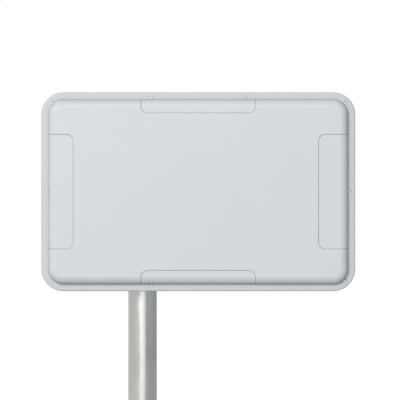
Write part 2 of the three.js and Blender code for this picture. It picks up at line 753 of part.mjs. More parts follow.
// Rubber ring that follows the post's wall on both sides of it.
function cableGrommet() {
  const z = PANEL_CENTRE_HEIGHT;
  const [low, high] = [z - FAR / 2, z + FAR / 2];
  const neck = barY(CABLE_EXIT_RADIUS - GAP, 0, FAR, 0, z, 16);
  const wall = cut(
    barZ(POST_RADIUS + GAP, 0, 0, low, high, POST_SIDES),
    barZ(POST_RADIUS - POST_WALL - GAP, 0, 0, low, high, POST_SIDES),
  );
  const ring = barY(GROMMET_FLANGE_RADIUS, GROMMET_INNER_END, POST_RADIUS + GROMMET_PROUD, 0, z, 16);
  return cut(ring, cut(wall, neck), barY(GROMMET_BORE_RADIUS, 0, FAR, 0, z, 16));
}

function basePlate() {
  const anchors = corners(ANCHOR_SPACING / 2, ANCHOR_SPACING / 2);
  const entries = [
    [-ENTRY_HOLE_X, 0],
    [ENTRY_HOLE_X, 0],
  ];
  return cut(
    slab(roundedRectangle(PLATE_SIZE, PLATE_SIZE, PLATE_CORNER), 0, PLATE_THICKNESS, 3),
    ...holes(anchors, ANCHOR_HOLE_RADIUS, -1, PLATE_THICKNESS + 1, 16),
    ...holes(entries, ENTRY_HOLE_RADIUS, -1, PLATE_THICKNESS + 1, 16),
  );
}

function baseGusset(quarterTurns) {
  const inner = POST_RADIUS + GAP + 0.2;
  const foot = PLATE_THICKNESS + GAP;
  const outline = polygon([
    [inner, foot + GUSSET_SNIPE],
    [inner + GUSSET_SNIPE, foot],
    [GUSSET_REACH, foot],
    [GUSSET_REACH, foot + GUSSET_TOE],
    [inner + GUSSET_TOP, foot + GUSSET_HEIGHT],
    [inner, foot + GUSSET_HEIGHT],
  ]);
  const options = { depth: GUSSET_THICKNESS, bevelEnabled: false };
  const geometry = new THREE.ExtrudeGeometry(outline, options);
  geometry.rotateX(Math.PI / 2).translate(0, GUSSET_THICKNESS / 2, 0);
  return toSolid(geometry.rotateZ((quarterTurns * Math.PI) / 2));
}

function footWeld() {
  const inner = POST_RADIUS + GAP;
  const foot = PLATE_THICKNESS + GAP;
  return turned(
    [
      [inner, foot],
      [inner + WELD_LEG, foot],
      [inner, foot + WELD_LEG],
      [inner, foot],
    ],
    POST_SIDES,
  );
}

// ---- Stop collar that carries the lower clamp ----

function stopCollar() {
  const bottom = COLLAR_TOP - COLLAR_HEIGHT;
  const ear = COLLAR_EAR_HALF_WIDTH;
  const ring = barZ(COLLAR_RADIUS, 0, 0, bottom, COLLAR_TOP, POST_SIDES);
  const ears = box(-ear, ear, COLLAR_RADIUS - 6, COLLAR_EAR_REACH, bottom, COLLAR_TOP);
  return cut(
    join(ring, ears),
    barZ(CLAMP_BORE, 0, 0, 0, FAR * 3, POST_SIDES),
    box(-COLLAR_SLOT / 2, COLLAR_SLOT / 2, 0, FAR, bottom - 1, COLLAR_TOP + 1),
    barX(COLLAR_SCREW_RADIUS + GAP, -FAR, FAR, COLLAR_SCREW_Y, COLLAR_TOP - COLLAR_HEIGHT / 2),
  );
}

// ---- Assembly ----

const gate = new THREE.Group();
const panel = new THREE.Group();
panel.position.set(PANEL_OFFSET, -RIM_TO_POST, PANEL_CENTRE_HEIGHT);
panel.rotation.x = Math.PI / 2;
gate.add(panel);

function place(parent, name, material, solid, position = [0, 0, 0], rotation = [0, 0, 0]) {
  const mesh = new THREE.Mesh(toGeometry(solid), material);
  mesh.name = name;
  mesh.position.set(...position);
  mesh.rotation.set(...rotation);
  parent.add(mesh);
}

function addStand() {
  place(gate, "base_plate", postSteel, basePlate());
  for (const turn of [0, 1, 2, 3]) {
    place(gate, `base_gusset_${turn + 1}`, postSteel, baseGusset(turn));
  }
  place(gate, "foot_weld", postSteel, footWeld());
  place(gate, "post_tube", postSteel, postTube());
  place(gate, "post_cap", blackPlastic, postCap());
  place(gate, "cable_grommet", blackRubber, cableGrommet());
}

function addCollar() {
  const height = COLLAR_TOP - COLLAR_HEIGHT / 2;
  const seat = COLLAR_EAR_HALF_WIDTH + GAP;
  const nut = hexNut(COLLAR_SCREW_RADIUS + GAP, COLLAR_HEX_RADIUS, COLLAR_NUT_HEIGHT);
  const screw = join(
    barZ(COLLAR_SCREW_RADIUS, 0, 0, -2 * seat - COLLAR_SCREW_SPARE, OVERSHOOT),
    barZ(COLLAR_HEAD_RADIUS, 0, 0, 0, COLLAR_HEAD_HEIGHT),
  );
  place(gate, "stop_collar", clampAlloy, stopCollar());
  place(gate, "stop_collar_screw", zincSteel, screw, [seat, COLLAR_SCREW_Y, height], [0, Math.PI / 2, 0]);
  place(gate, "stop_collar_nut", zincSteel, nut, [-seat, COLLAR_SCREW_Y, height], [0, -Math.PI / 2, 0]);
}

function addClamp(name, centreY) {
  const strapSeat = POST_Z - CLAMP_PARTING - STRAP_EAR - GAP;
  const headSeat = WEB_FRONT + GAP;
  const length = headSeat - strapSeat + CLAMP_BOLT_SPARE;
  const bolt = hexBolt(CLAMP_BOLT_RADIUS, length, CLAMP_HEX_RADIUS, CLAMP_HEAD_HEIGHT);
  const nut = hexNut(CLAMP_BOLT_RADIUS + GAP, CLAMP_HEX_RADIUS, CLAMP_NUT_HEIGHT);
  place(panel, `${name}_clamp_saddle`, clampAlloy, clampSaddle(centreY));
  place(panel, `${name}_clamp_strap`, clampAlloy, clampStrap(centreY));
  for (const [index, side] of [-1, 1].entries()) {
    const x = POST_X + side * CLAMP_BOLT_X;
    place(panel, `${name}_clamp_bolt_${index + 1}`, zincSteel, bolt, [x, centreY, headSeat]);
    const nutAt = [x, centreY, strapSeat - CLAMP_NUT_HEIGHT];
    place(panel, `${name}_clamp_nut_${index + 1}`, zincSteel, nut, nutAt);
  }
}

function addBracket() {
  const screw = hexBolt(
    BRACKET_SCREW_RADIUS,
    BRACKET_SCREW_LENGTH,
    BRACKET_HEX_RADIUS,
    BRACKET_HEAD_HEIGHT,
    BRACKET_FLANGE_RADIUS,
  );
  place(panel, "hat_bracket", postSteel, hatBracket());
  bracketScrewPlaces.forEach(([x, y], i) => {
    const at = [x, y, FOOT_BACK - GAP];
    place(panel, `bracket_screw_${i + 1}`, zincSteel, screw, at, [0, Math.PI, 0]);
  });
  addClamp("upper", CLAMP_SPACING / 2);
  addClamp("lower", -CLAMP_SPACING / 2);
}

function addHousing() {
  const seat = -COUNTERBORE_DEPTH + GAP;
  const screw = panHeadScrew(COVER_SCREW_RADIUS, COVER_SCREW_LENGTH, COVER_HEAD_RADIUS, COVER_HEAD_HEIGHT);
  place(panel, "front_cover", shellPlastic, frontCover());
  place(panel, "seal_gasket", sealFoam, sealGasket());
  place(panel, "rear_tray", shellPlastic, rearTray());
  coverScrewPlaces().forEach(([x, y], i) => {
    const number = String(i + 1).padStart(2, "0");
    place(panel, `cover_screw_${number}`, zincSteel, screw, [x, y, seat]);
  });
  place(panel, "gland_body", blackPlastic, glandBody(), [...GLAND_AT, 0]);
  place(panel, "gland_cap", blackPlastic, glandCap(), [...GLAND_AT, 0]);
  const locknut = hexNut(GLAND_THREAD_RADIUS + GAP, LOCKNUT_HEX_RADIUS, LOCKNUT_HEIGHT);
  place(panel, "gland_locknut", blackPlastic, locknut, [...GLAND_AT, TRAY_FLOOR + GAP]);
  place(panel, "vent_plug", blackPlastic, ventPlug(), [...VENT_AT, 0]);
}

function addElectronics() {
  const carrierScrew = panHeadScrew(
    COVER_SCREW_RADIUS,
    CARRIER_SCREW_LENGTH,
    CARRIER_HEAD_RADIUS,
    CARRIER_HEAD_HEIGHT,
  );
  const boardScrew = panHeadScrew(
    BOARD_SCREW_RADIUS,
    BOARD_SCREW_LENGTH,
    BOARD_HEAD_RADIUS,
    BOARD_HEAD_HEIGHT,
  );
  place(panel, "antenna_carrier", naturalPlastic, antennaCarrier());
  place(panel, "antenna_loop", copper, antennaLoop());
  place(panel, "feed_lead_left", blackRubber, feedLead(-1));
  place(panel, "feed_lead_right", blackRubber, feedLead(1));
  place(panel, "tuning_board", circuitBoard, tuningBoard());
  place(panel, "shield_can", zincSteel, shieldCan());
  place(panel, "terminal_block", blackPlastic, terminalBlock());
  place(panel, "tuning_capacitor", naturalPlastic, tuningCapacitor());
  carrierScrewPlaces.forEach(([x, y], i) => {
    place(panel, `carrier_screw_${i + 1}`, zincSteel, carrierScrew, [x, y, CARRIER_FRONT + GAP]);
  });
  boardScrewPlaces.forEach(([x, y], i) => {
    place(panel, `board_screw_${i + 1}`, zincSteel, boardScrew, [x, y, BOARD_FRONT]);
  });
}

addStand();
addCollar();
addBracket();
addHousing();
addElectronics();

export default gate;
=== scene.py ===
"""Looks of the security gate post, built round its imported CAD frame.

Lengths are in millimetres, except where a comment says metres.
"""

import json
import math
from collections import Counter

import bmesh
import bpy
from mathutils import Matrix, Vector, geometry, noise


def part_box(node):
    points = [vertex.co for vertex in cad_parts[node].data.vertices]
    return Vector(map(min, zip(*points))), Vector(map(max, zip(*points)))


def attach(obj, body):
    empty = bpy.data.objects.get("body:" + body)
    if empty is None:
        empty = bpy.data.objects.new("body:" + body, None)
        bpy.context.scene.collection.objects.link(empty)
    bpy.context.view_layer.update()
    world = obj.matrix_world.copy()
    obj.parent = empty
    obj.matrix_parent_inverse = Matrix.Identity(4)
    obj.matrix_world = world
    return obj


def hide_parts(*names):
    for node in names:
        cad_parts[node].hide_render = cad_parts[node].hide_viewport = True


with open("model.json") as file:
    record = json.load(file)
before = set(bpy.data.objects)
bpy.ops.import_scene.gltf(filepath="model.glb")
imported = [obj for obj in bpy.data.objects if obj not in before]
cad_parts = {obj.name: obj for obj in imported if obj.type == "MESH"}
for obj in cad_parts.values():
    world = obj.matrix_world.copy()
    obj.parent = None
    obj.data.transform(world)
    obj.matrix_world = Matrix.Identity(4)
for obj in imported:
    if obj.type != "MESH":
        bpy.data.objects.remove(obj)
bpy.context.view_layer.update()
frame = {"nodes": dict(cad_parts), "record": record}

MM = 0.001
GAP = 0.3  # left between pieces that touch
PLAN_STEP = 0.12  # least spacing of lines in a moulding's flat plan
FEATURE_STEPS = 24  # sides of the round features in that plan

# ---- Places and sizes, from the frame ----


def box_mm(node):
    low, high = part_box(node)
    return low / MM, high / MM


def centre_mm(node):
    low, high = box_mm(node)
    return (low + high) / 2


COVER_LOW, COVER_HIGH = box_mm("front_cover")
TUBE_LOW, TUBE_HIGH = box_mm("post_tube")
PLATE_LOW, PLATE_HIGH = box_mm("base_plate")

RIM_THICKNESS = 4
RIM_WIDTH = 15.7
RIM_EDGE = 3.5
PANEL_CORNER = 46
SHOULDER = 17
RECESS_DEPTH = 1.35
COVER_WALL = 3

PANEL_HALF_X = (COVER_HIGH.x - COVER_LOW.x) / 2
PANEL_HALF_Y = (COVER_HIGH.z - COVER_LOW.z) / 2
PANEL_CENTRE = (COVER_LOW + COVER_HIGH) / 2
RIM_PLANE = COVER_HIGH.y - RIM_THICKNESS
POST_RADIUS = (TUBE_HIGH.x - TUBE_LOW.x) / 2
POST_WALL = 3

UPRIGHT = Matrix.Identity(4)
ON_SIDE = Matrix.Rotation(math.pi / 2, 4, "Y")  # z turned to x
FORWARDS = Matrix.Rotation(math.pi / 2, 4, "X")  # z turned to -y
OVER = Matrix.Rotation(math.pi, 4, "X")
MIRRORED = Matrix.Diagonal((1, 1, -1, 1))  # for pieces whose heights run backwards
# The panel's own frame: x to the right, y up, z out of its face, from the middle of the rim's front plane.
PANEL = Matrix.Translation((PANEL_CENTRE.x, RIM_PLANE, PANEL_CENTRE.z)) @ FORWARDS


def at_panel(x, y, z=0.0):
    return PANEL @ Matrix.Translation((x, y, z))


def in_panel(node):
    """A node's lowest and highest corner in the panel's own frame."""
    low, high = box_mm(node)
    ends = [PANEL.inverted() @ low, PANEL.inverted() @ high]
    return [Vector([pick(e[i] for e in ends) for i in range(3)]) for pick in (min, max)]


# ---- Materials: scales are per metre, and depths are in millimetres ----

EVEN = (1, 1, 1)


class Tree:
    """A material's or world's nodes, with short calls for what the finishes share."""

    def __init__(self, owner):
        owner.use_nodes = True
        self.nodes = owner.node_tree.nodes
        self.links = owner.node_tree.links

    def feed(self, node, socket, value):
        """Links an output to the socket of that name or index, or sets its value."""
        if isinstance(value, bpy.types.NodeSocket):
            self.links.new(value, node.inputs[socket])
        else:
            node.inputs[socket].default_value = value

    def add(self, kind, settings=None, **inputs):
        node = self.nodes.new(kind)
        for name, value in (settings or {}).items():
            setattr(node, name, value)
        for name, value in inputs.items():
            self.feed(node, name.replace("_", " "), value)
        return node

    def place(self, stretch=EVEN):
        coordinates = self.add("ShaderNodeTexCoord").outputs["Object"]
        return self.add("ShaderNodeMapping", Vector=coordinates, Scale=stretch).outputs["Vector"]

    def noise(self, scale, detail=3.0, roughness=0.5, stretch=EVEN):
        inputs = {"Vector": self.place(stretch), "Scale": scale, "Detail": detail, "Roughness": roughness}
        return self.add("ShaderNodeTexNoise", **inputs).outputs["Fac"]

    def cells(self, scale, feature="F1", stretch=EVEN):
        return self.add("ShaderNodeTexVoronoi", {"feature": feature}, Vector=self.place(stretch), Scale=scale)

    def band(self, value, low, high, to_low=0.0, to_high=1.0):
        """A smooth step from one value to another over a band of the input."""
        inputs = {"Value": value, "From Min": low, "From Max": high, "To Min": to_low, "To Max": to_high}
        step = self.add("ShaderNodeMapRange", {"interpolation_type": "SMOOTHSTEP"}, **inputs)
        return step.outputs["Result"]

    def blend(self, factor, first, second):
        node = self.add("ShaderNodeMix", {"data_type": "RGBA"})
        for socket, value in ((0, factor), (6, first), (7, second)):
            self.feed(node, socket, (*value, 1) if isinstance(value, tuple) else value)
        return node.outputs[2]

    def sums(self, operation, first, second):
        node = self.add("ShaderNodeMath", {"operation": operation})
        self.feed(node, 0, first)
        self.feed(node, 1, second)
        return node.outputs[0]

    def part(self, value, share):
        return self.sums("MULTIPLY", value, share)

    def bump(self, height, depth, strength=1.0, normal=None):
        node = self.add("ShaderNodeBump", Height=height, Strength=strength, Distance=depth * MM)
        if normal:
            self.feed(node, "Normal", normal)
        return node.outputs["Normal"]

    def edges(self):
        """1 along worn convex edges and 0 elsewhere, broken up by noise."""
        ridge = self.band(self.add("ShaderNodeNewGeometry").outputs["Pointiness"], 0.52, 0.62)
        return self.part(ridge, self.band(self.noise(180), 0.35, 0.65, 0.25, 1.0))

    def creases(self):
        return self.band(self.add("ShaderNodeNewGeometry").outputs["Pointiness"], 0.38, 0.49, 1.0, 0.0)


class Finish(Tree):
    """A material in the making: its even values are set on its shader, and done() feeds the others."""

    def __init__(self, name, base, **even):
        self.material = bpy.data.materials.new(name)
        self.base = base
        super().__init__(self.material)
        self.shader = self.nodes["Principled BSDF"]
        self.shader.inputs["Base Color"].default_value = (*base, 1)
        for socket, value in even.items():
            self.shader.inputs[socket.replace("_", " ")].default_value = value

    def tones(self, factor, low, high):
        """The base colour between two strengths of it."""
        return self.blend(factor, tone(self.base, low), tone(self.base, high))

    def over(self, factor, colour, strength):
        """The base colour at that strength, laid over another colour."""
        return self.blend(factor, colour, tone(self.base, strength))

    def uneven(self, scale, detail, low, high):
        return self.band(self.noise(scale, detail), 0.3, 0.7, low, high)

    def done(self, colour, roughness, normal=None):
        self.feed(self.shader, "Base Color", colour)
        self.feed(self.shader, "Roughness", roughness)
        if normal:
            self.feed(self.shader, "Normal", normal)
        return self.material


def tone(base, factor):
    return tuple(min(1.0, channel * factor) for channel in base)


def moulded(name, base, grain_scale=900, grain=0.03, rough=(0.42, 0.52), edge=1.06, dust=0.9):
    """Moulded or powder-coated plastic: fine grain, faint cloudiness, paler rubbed edges, duller creases,
    and painted shade: darker where the mesh's attribute of painted shade says."""
    tree = Finish(name, base, IOR=1.48)
    cloudy = tree.tones(tree.noise(9, 4), 0.985, 1.015)
    dusty = tree.over(tree.part(tree.creases(), 0.5), cloudy, dust)
    # Painted shade from a point attribute: darker where shade falls in the cover's crease, on its recesses'
    # steps and round its rim.
    painted_shade = tree.add("ShaderNodeAttribute", {"attribute_name": "painted_shade"}).outputs["Fac"]
    shade_painted = tree.over(tree.part(painted_shade, 0.26), dusty, 0.5)
    rubbed = tree.over(tree.part(tree.edges(), 0.6), shade_painted, edge)
    waves = tree.bump(tree.noise(70, 3), 0.06)
    skin = tree.bump(tree.noise(grain_scale, 3, 0.6), grain, 1.0, waves)
    return tree.done(rubbed, tree.uneven(60, 5, *rough), skin)


def galvanised(name, base, drawn=False, rough=(0.26, 0.42)):
    """Zinc-coated steel: soft spangle or drawn lines, dull patches and bright worn edges."""
    tree = Finish(name, base, Metallic=1.0)
    stretch = (1, 1, 0.03) if drawn else EVEN
    spangle = tree.cells(90 if drawn else 160, stretch=stretch).outputs["Color"]
    grey = tree.add("ShaderNodeRGBToBW", Color=spangle).outputs["Val"]
    mottled = tree.tones(tree.band(grey, 0.1, 0.9), 0.93, 1.06)
    patchy = tree.over(tree.band(tree.noise(14, 5), 0.45, 0.75, 0.0, 0.45), mottled, 0.82)
    worn = tree.over(tree.edges(), patchy, 1.2)
    lines = tree.noise(420, 4, 0.6, stretch)
    rub = tree.sums("ADD", tree.part(lines, 0.5), tree.part(tree.noise(22, 5), 0.5))
    wave = tree.bump(tree.noise(16, 3, 0.5, (1, 1, 0.5)), 0.12, 0.6)
    if drawn:
        wave = tree.bump(tree.noise(52, 2, 0.5, (1, 1, 0.7)), 0.24, 0.6, wave)
    return tree.done(worn, tree.band(rub, 0.35, 0.65, *rough), tree.bump(lines, 0.006, 0.8, wave))


def plated(name, base, rough=(0.22, 0.36), scale=260):
    """Plated or plain metal of small parts: turning marks, finger-dull patches and bright edges."""
    tree = Finish(name, base, Metallic=1.0)
    patchy = tree.tones(tree.band(tree.noise(scale, 4), 0.35, 0.7), 1.03, 0.86)
    stained = tree.over(tree.part(tree.creases(), 0.7), patchy, 0.5)
    worn = tree.over(tree.edges(), stained, 1.2)
    return tree.done(worn, tree.uneven(scale * 2, 4, *rough), tree.bump(tree.noise(scale * 4, 3), 0.01))


def cast(name, base):
    """Cast alloy: pebbled skin with rubbed edges."""
    tree = Finish(name, base, Metallic=1.0)
    pebbles = tree.cells(420, "SMOOTH_F1").outputs["Distance"]
    shaded = tree.tones(tree.band(tree.noise(40, 5), 0.3, 0.75), 1.05, 0.8)
    grimy = tree.over(tree.part(tree.creases(), 0.6), shaded, 0.5)
    worn = tree.over(tree.edges(), grimy, 1.25)
    skin = tree.bump(tree.sums("ADD", pebbles, tree.noise(700, 4)), 0.05)
    return tree.done(worn, tree.uneven(150, 4, 0.4, 0.58), skin)


def soft(name, base, pore_scale, pore_depth, rough=(0.7, 0.88)):
    """Rubber or foam: fine pores and a chalky bloom on its edges."""
    tree = Finish(name, base, IOR=1.45)
    chalky = tree.over(tree.edges(), tree.tones(tree.noise(45, 5), 0.8, 1.5), 2.2)
    pores = tree.bump(tree.cells(pore_scale).outputs["Distance"], pore_depth)
    return tree.done(chalky, tree.uneven(120, 4, *rough), pores)


def circuit(name, base):
    """Solder resist over copper tracks: a faint grid of raised runs under a glossy green coat."""
    tree = Finish(name, base, Coat_Weight=0.6, Coat_Roughness=0.12)
    bricks = tree.add("ShaderNodeTexBrick", Vector=tree.place((1, 0, 1)), Scale=90).outputs["Fac"]
    tracks = tree.band(bricks, 0, 1)
    dots = tree.band(tree.cells(240).outputs["Distance"], 0.0, 0.2, 0.5, 0.0)
    dotted = tree.over(dots, tree.tones(tracks, 1, 1.9), 2.6)
    return tree.done(dotted, tree.uneven(200, 4, 0.3, 0.45), tree.bump(tracks, 0.035))


FINISHES = {
    "white_shell": moulded("cool_white_shell", (0.718, 0.747, 0.782), dust=0.88),
    "galvanised_steel": galvanised("galvanised_steel", (0.56, 0.555, 0.54)),
    "zinc_fasteners": plated("zinc_plate", (0.66, 0.67, 0.68)),
    "stainless_screws": plated("stainless_steel", (0.74, 0.745, 0.75), (0.35, 0.5)),
    "cast_alloy": cast("cast_alloy", (0.58, 0.59, 0.6)),
    "black_plastic": moulded("black_plastic", (0.022, 0.023, 0.025), 700, 0.05, (0.45, 0.6), 2.4, 1.8),
    "black_rubber": soft("black_rubber", (0.016, 0.016, 0.017), 900, 0.03),
    "seal_foam": soft("seal_foam", (0.045, 0.046, 0.05), 500, 0.12, (0.85, 0.95)),
    "copper_strip": plated("copper_strip", (0.78, 0.40, 0.25), (0.25, 0.45), 90),
    "circuit_board": circuit("solder_resist", (0.02, 0.13, 0.05)),
    "tinned_steel": plated("tin_plate", (0.70, 0.70, 0.69), (0.18, 0.34), 130),
    "natural_plastic": moulded("natural_plastic", (0.72, 0.70, 0.60), 600, 0.04, (0.45, 0.6)),
}
DRAWN_STEEL = galvanised("drawn_post_steel", (0.94, 0.95, 0.945), drawn=True, rough=(0.2, 0.31))


def dress_cad_nodes():
    """Gives every CAD node the finish of its slot, before finer pieces replace them."""
    for part in frame["record"]["subparts"]:
        node = frame["nodes"][part["node"]]
        node.data.materials.clear()
        node.data.materials.append(FINISHES[part["material_slot"]])


NODE_SLOT = {part["node"]: part["material_slot"] for part in frame["record"]["subparts"]}
NODE_BODY = {node: body for body, nodes in frame["record"]["behaviour"]["bodies"].items() for node in nodes}

# ---- Meshes ----

SHARP = 38  # degrees between two faces from which their edge stays sharp


def make_object(name, vertices, faces, place=UPRIGHT, angle=SHARP):
    """A smooth-shaded object from points in millimetres, with its faces turned outwards."""
    mesh = bpy.data.meshes.new(name)
    mesh.from_pydata([(place @ Vector(v)) * MM for v in vertices], [], faces)
    clean(mesh)
    return show(name, mesh, angle)


def clean(mesh):
    """Merges the points that coincide and turns the faces outwards."""
    turned = bmesh.new()
    turned.from_mesh(mesh)
    bmesh.ops.remove_doubles(turned, verts=turned.verts, dist=1e-7)
    bmesh.ops.recalc_face_normals(turned, faces=turned.faces)
    turned.to_mesh(mesh)
    turned.free()


def smooth(mesh, angle=SHARP):
    mesh.polygons.foreach_set("use_smooth", [True] * len(mesh.polygons))
    mesh.set_sharp_from_angle(angle=math.radians(angle))


def show(name, mesh, angle=SHARP):
    smooth(mesh, angle)
    made = bpy.data.objects.new(name, mesh)
    bpy.context.scene.collection.objects.link(made)
    made.modifiers.new("weighted_normals", "WEIGHTED_NORMAL").keep_sharp = True
    return made


def combine(made, other, operation):
    """Cuts, joins or intersects one object with another and removes the other."""
    modifier = made.modifiers.new("combine", "BOOLEAN")
    modifier.operation = operation
    modifier.solver = "EXACT"
    modifier.object = other
    made.modifiers.move(len(made.modifiers) - 1, 0)
    with bpy.context.temp_override(object=made, active_object=made):
        bpy.ops.object.modifier_apply(modifier="combine")
    bpy.data.objects.remove(other)
    smooth(made.data)
    return made


def dress(made, slot, body, material=None):
    made.data.materials.clear()
    made.data.materials.append(material or FINISHES[slot])
    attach(made, body)


def stand_for(made, node, material=None):
    """The piece takes the finish of the replaced node's slot, unless another is given, and that node's body.
    """
    dress(made, NODE_SLOT[node], NODE_BODY[node], material)
    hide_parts(node)


def arc(centre_x, centre_y, radius, start, stop, steps):
    """Points of an arc, angles in degrees."""
    turns = [math.radians(start + (stop - start) * i / steps) for i in range(steps + 1)]
    return [(centre_x + radius * math.cos(t), centre_y + radius * math.sin(t)) for t in turns]


def circle(x, y, radius, steps=48):
    return arc(x, y, radius, 0, 360 - 360 / steps, steps - 1)


def divided(start, stop, spacing):
    """Points from start up to, but without, stop."""
    count = max(1, round(math.dist(start, stop) / spacing))
    return [tuple(Vector(start).lerp(Vector(stop), i / count)) for i in range(count)]


def rounded_rectangle(half_x, half_y, corner, steps=24, spacing=14):
    x, y = half_x - corner, half_y - corner
    middles = ((x, y), (-x, y), (-x, -y), (x, -y))
    corners = [arc(*middle, corner, 90 * i, 90 * i + 90, steps) for i, middle in enumerate(middles)]
    points = []
    for index, turn in enumerate(corners):
        points += turn[:-1] + divided(turn[-1], corners[(index + 1) % 4][0], spacing)
    return points


def inset_loop(loop, distance):
    """A closed loop moved to its left, which is inwards where it runs anticlockwise."""
    moved = []
    for index, point in enumerate(loop):
        point = Vector(point)
        before = (point - Vector(loop[index - 1])).normalized()
        after = (Vector(loop[(index + 1) % len(loop)]) - point).normalized()
        left = Vector((-before.y, before.x)) + Vector((-after.y, after.x))
        left.normalize()
        moved.append(tuple(point + left * distance / max(0.35, left.dot(Vector((-before.y, before.x))))))
    return moved


def edge_rings(low, high, edge, steps):
    """Pairs of inset and height that round the two rims of a flat piece."""
    turns = [math.radians(90 * i / steps) for i in range(steps + 1)]
    lower = [(edge * (1 - math.sin(t)), low + edge * (1 - math.cos(t))) for t in turns]
    upper = [(edge * (1 - math.cos(t)), high - edge * (1 - math.sin(t))) for t in turns]
    return lower + upper


def ring_faces(lower, upper):
    count = len(lower)
    return [(lower[i], lower[(i + 1) % count], upper[(i + 1) % count], upper[i]) for i in range(count)]


def prism(name, loops, low, high, edge=0.8, place=UPRIGHT, steps=3):
    """A flat piece with rounded rims: the first loop runs anticlockwise, and holes run clockwise."""
    vertices, faces, bottom, top = [], [], [], []
    for loop in loops:
        indices = []
        for inset, height in edge_rings(low, high, edge, steps):
            indices.append(list(range(len(vertices), len(vertices) + len(loop))))
            vertices += [(x, y, height) for x, y in inset_loop(loop, inset)]
        for first, second in zip(indices, indices[1:]):
            faces += ring_faces(first, second)
        bottom += indices[0]
        top += indices[-1]
    _, triangles, places = triangulated([inset_loop(loop, edge) for loop in loops])
    order = {spot: index for index, spot in enumerate(i for found in places for i in found)}
    for flat in within(triangles, places):
        faces += [tuple(cap[order[i]] for i in flat) for cap in (bottom, top)]
    return make_object(name, vertices, faces, place)


def within(triangles, loops):
    """The triangles of a net that lie inside an odd number of its closed loops."""
    walls = {frozenset(pair) for loop in loops for pair in zip(loop, loop[1:] + loop[:1])}
    sides = [[frozenset(pair) for pair in ((a, b), (b, c), (c, a))] for a, b, c in triangles]
    users = {}
    for index, triple in enumerate(sides):
        for side in triple:
            users.setdefault(side, []).append(index)
    inside = {}
    waiting = [(found[0], side in walls) for side, found in users.items() if len(found) == 1]
    while waiting:
        index, state = waiting.pop()
        if index not in inside:
            inside[index] = state
            waiting += [(other, state != (side in walls)) for side in sides[index] for other in users[side]]
    return [triangle for index, triangle in enumerate(triangles) if inside[index]]


def hole(x, y, radius, steps=40):
    return list(reversed(circle(x, y, radius, steps)))


def softened(profile, radius, closed):
    """The profile with each corner cut to a short arc of about that radius."""
    points = [Vector(p) for p in profile]
    count = len(points)
    result = []
    for index, point in enumerate(points):
        if not closed and index in (0, count - 1):
            result.append(tuple(point))
            continue
        before, after = points[index - 1], points[(index + 1) % count]
        reach = min(radius, (point - before).length * 0.45, (after - point).length * 0.45)
        start = point + (before - point).normalized() * reach
        stop = point + (after - point).normalized() * reach
        for t in (0, 1 / 3, 2 / 3, 1):
            result.append(tuple(start * (1 - t) ** 2 + point * 2 * t * (1 - t) + stop * t * t))
    return result


def loop_faces(loops, closed=False):
    """The faces between loops of points one after another, where a loop may be a single point."""
    faces = []
    for first, second in list(zip(loops, loops[1:])) + ([(loops[-1], loops[0])] if closed else []):
        if len(first) == len(second):
            faces += ring_faces(first, second) if len(first) > 1 else []
        else:
            tip, ring = (first[0], second) if len(first) == 1 else (second[0], first)
            faces += [(tip, one, other) for one, other in zip(ring, ring[1:] + ring[:1])]
    return faces


def swept(name, rings, place=UPRIGHT, closed=False, angle=50):
    """A bar through rings of points, with an end on the first and last unless it closes on itself."""
    size = len(rings[0])
    loops = [list(range(i * size, i * size + size)) for i in range(len(rings))]
    faces = loop_faces(loops, closed)
    if not closed:
        faces += [tuple(loops[0]), tuple(loops[-1])]
    return make_object(name, [p for ring in rings for p in ring], faces, place, angle)


def hexagon_radius(circumradius, angle):
    from_flat = (angle + math.pi / 6) % (math.pi / 3) - math.pi / 6
    return circumradius * math.cos(math.pi / 6) / math.cos(from_flat)


def spun(name, rings, place=UPRIGHT, steps=48, thread=None, hexagons=(), lobes=None, closed=False):
    """A turned piece about z from pairs of radius and height. It may have a thread (start, stop, pitch,
    depth), hexagons (start, stop, circumradius) that its radius stays inside, and lobes (start, stop,
    count, depth) round it."""

    def radius_at(radius, height, angle):
        for low, high, circumradius in hexagons:
            if low <= height <= high:
                radius = min(radius, hexagon_radius(circumradius, angle))
        if thread and thread[0] <= height <= thread[1] and radius > 0:
            phase = (height / thread[2] - angle / (2 * math.pi)) % 1
            radius -= thread[3] * abs(2 * phase - 1)
        if lobes and lobes[0] <= height <= lobes[1]:
            radius -= lobes[3] * max(0.0, math.cos(angle * lobes[2])) ** 2
        return radius

    vertices = []
    loops = []
    for radius, height in rings:
        count = steps if radius > 1e-6 else 1
        loops.append(list(range(len(vertices), len(vertices) + count)))
        for i in range(count):
            angle = 2 * math.pi * i / steps
            reach = radius_at(radius, height, angle) if count > 1 else 0
            vertices.append((reach * math.cos(angle), reach * math.sin(angle), height))
    return make_object(name, vertices, loop_faces(loops, closed), place)


def lathe(name, profile, place=UPRIGHT, soft=0.0, steps=64, closed=None):
    """A plain turned piece, open to its axis or closed round it, whose corners may be softened."""
    closed = profile[0][0] > 0 if closed is None else closed
    return spun(name, softened(profile, soft, closed) if soft else profile, place, steps, closed=closed)


def drill(radius, reach, place):
    """A cutter along z, to that reach both ways."""
    return lathe("drill", [(0, -reach), (radius, -reach), (radius, reach), (0, reach)], place, steps=32)


# ---- Moulded shells: a flat plan, lifted into shape by a profile, by fields and by round features ----

RECESSES = [((-1, 0), 67.5), ((1, 0), 77.5), ((0, 1), 44), ((0, -1), 44)]  # direction and reach inwards
RECESS_HALF = 118
RECESS_CORNER = 14
# How much of a step applies at a distance outwards from its outline
RECESS_SLOPE = [(-0.85, 1.0), (-0.5, 0.93), (-0.17, 0.65), (0.17, 0.35), (0.5, 0.07), (0.85, 0.0)]
RIBS_Y = (-24, 24, 72, 120)
RIB_ENDS = (10, 262)
RIB_HALF_WIDTH = 6
RIB_HEIGHT = 2
RIB_SLOPE = [(-1.6, 1.0), (-1.2, 0.95), (-0.8, 0.72), (-0.4, 0.3), (-0.1, 0.06), (0.0, 0.0)]


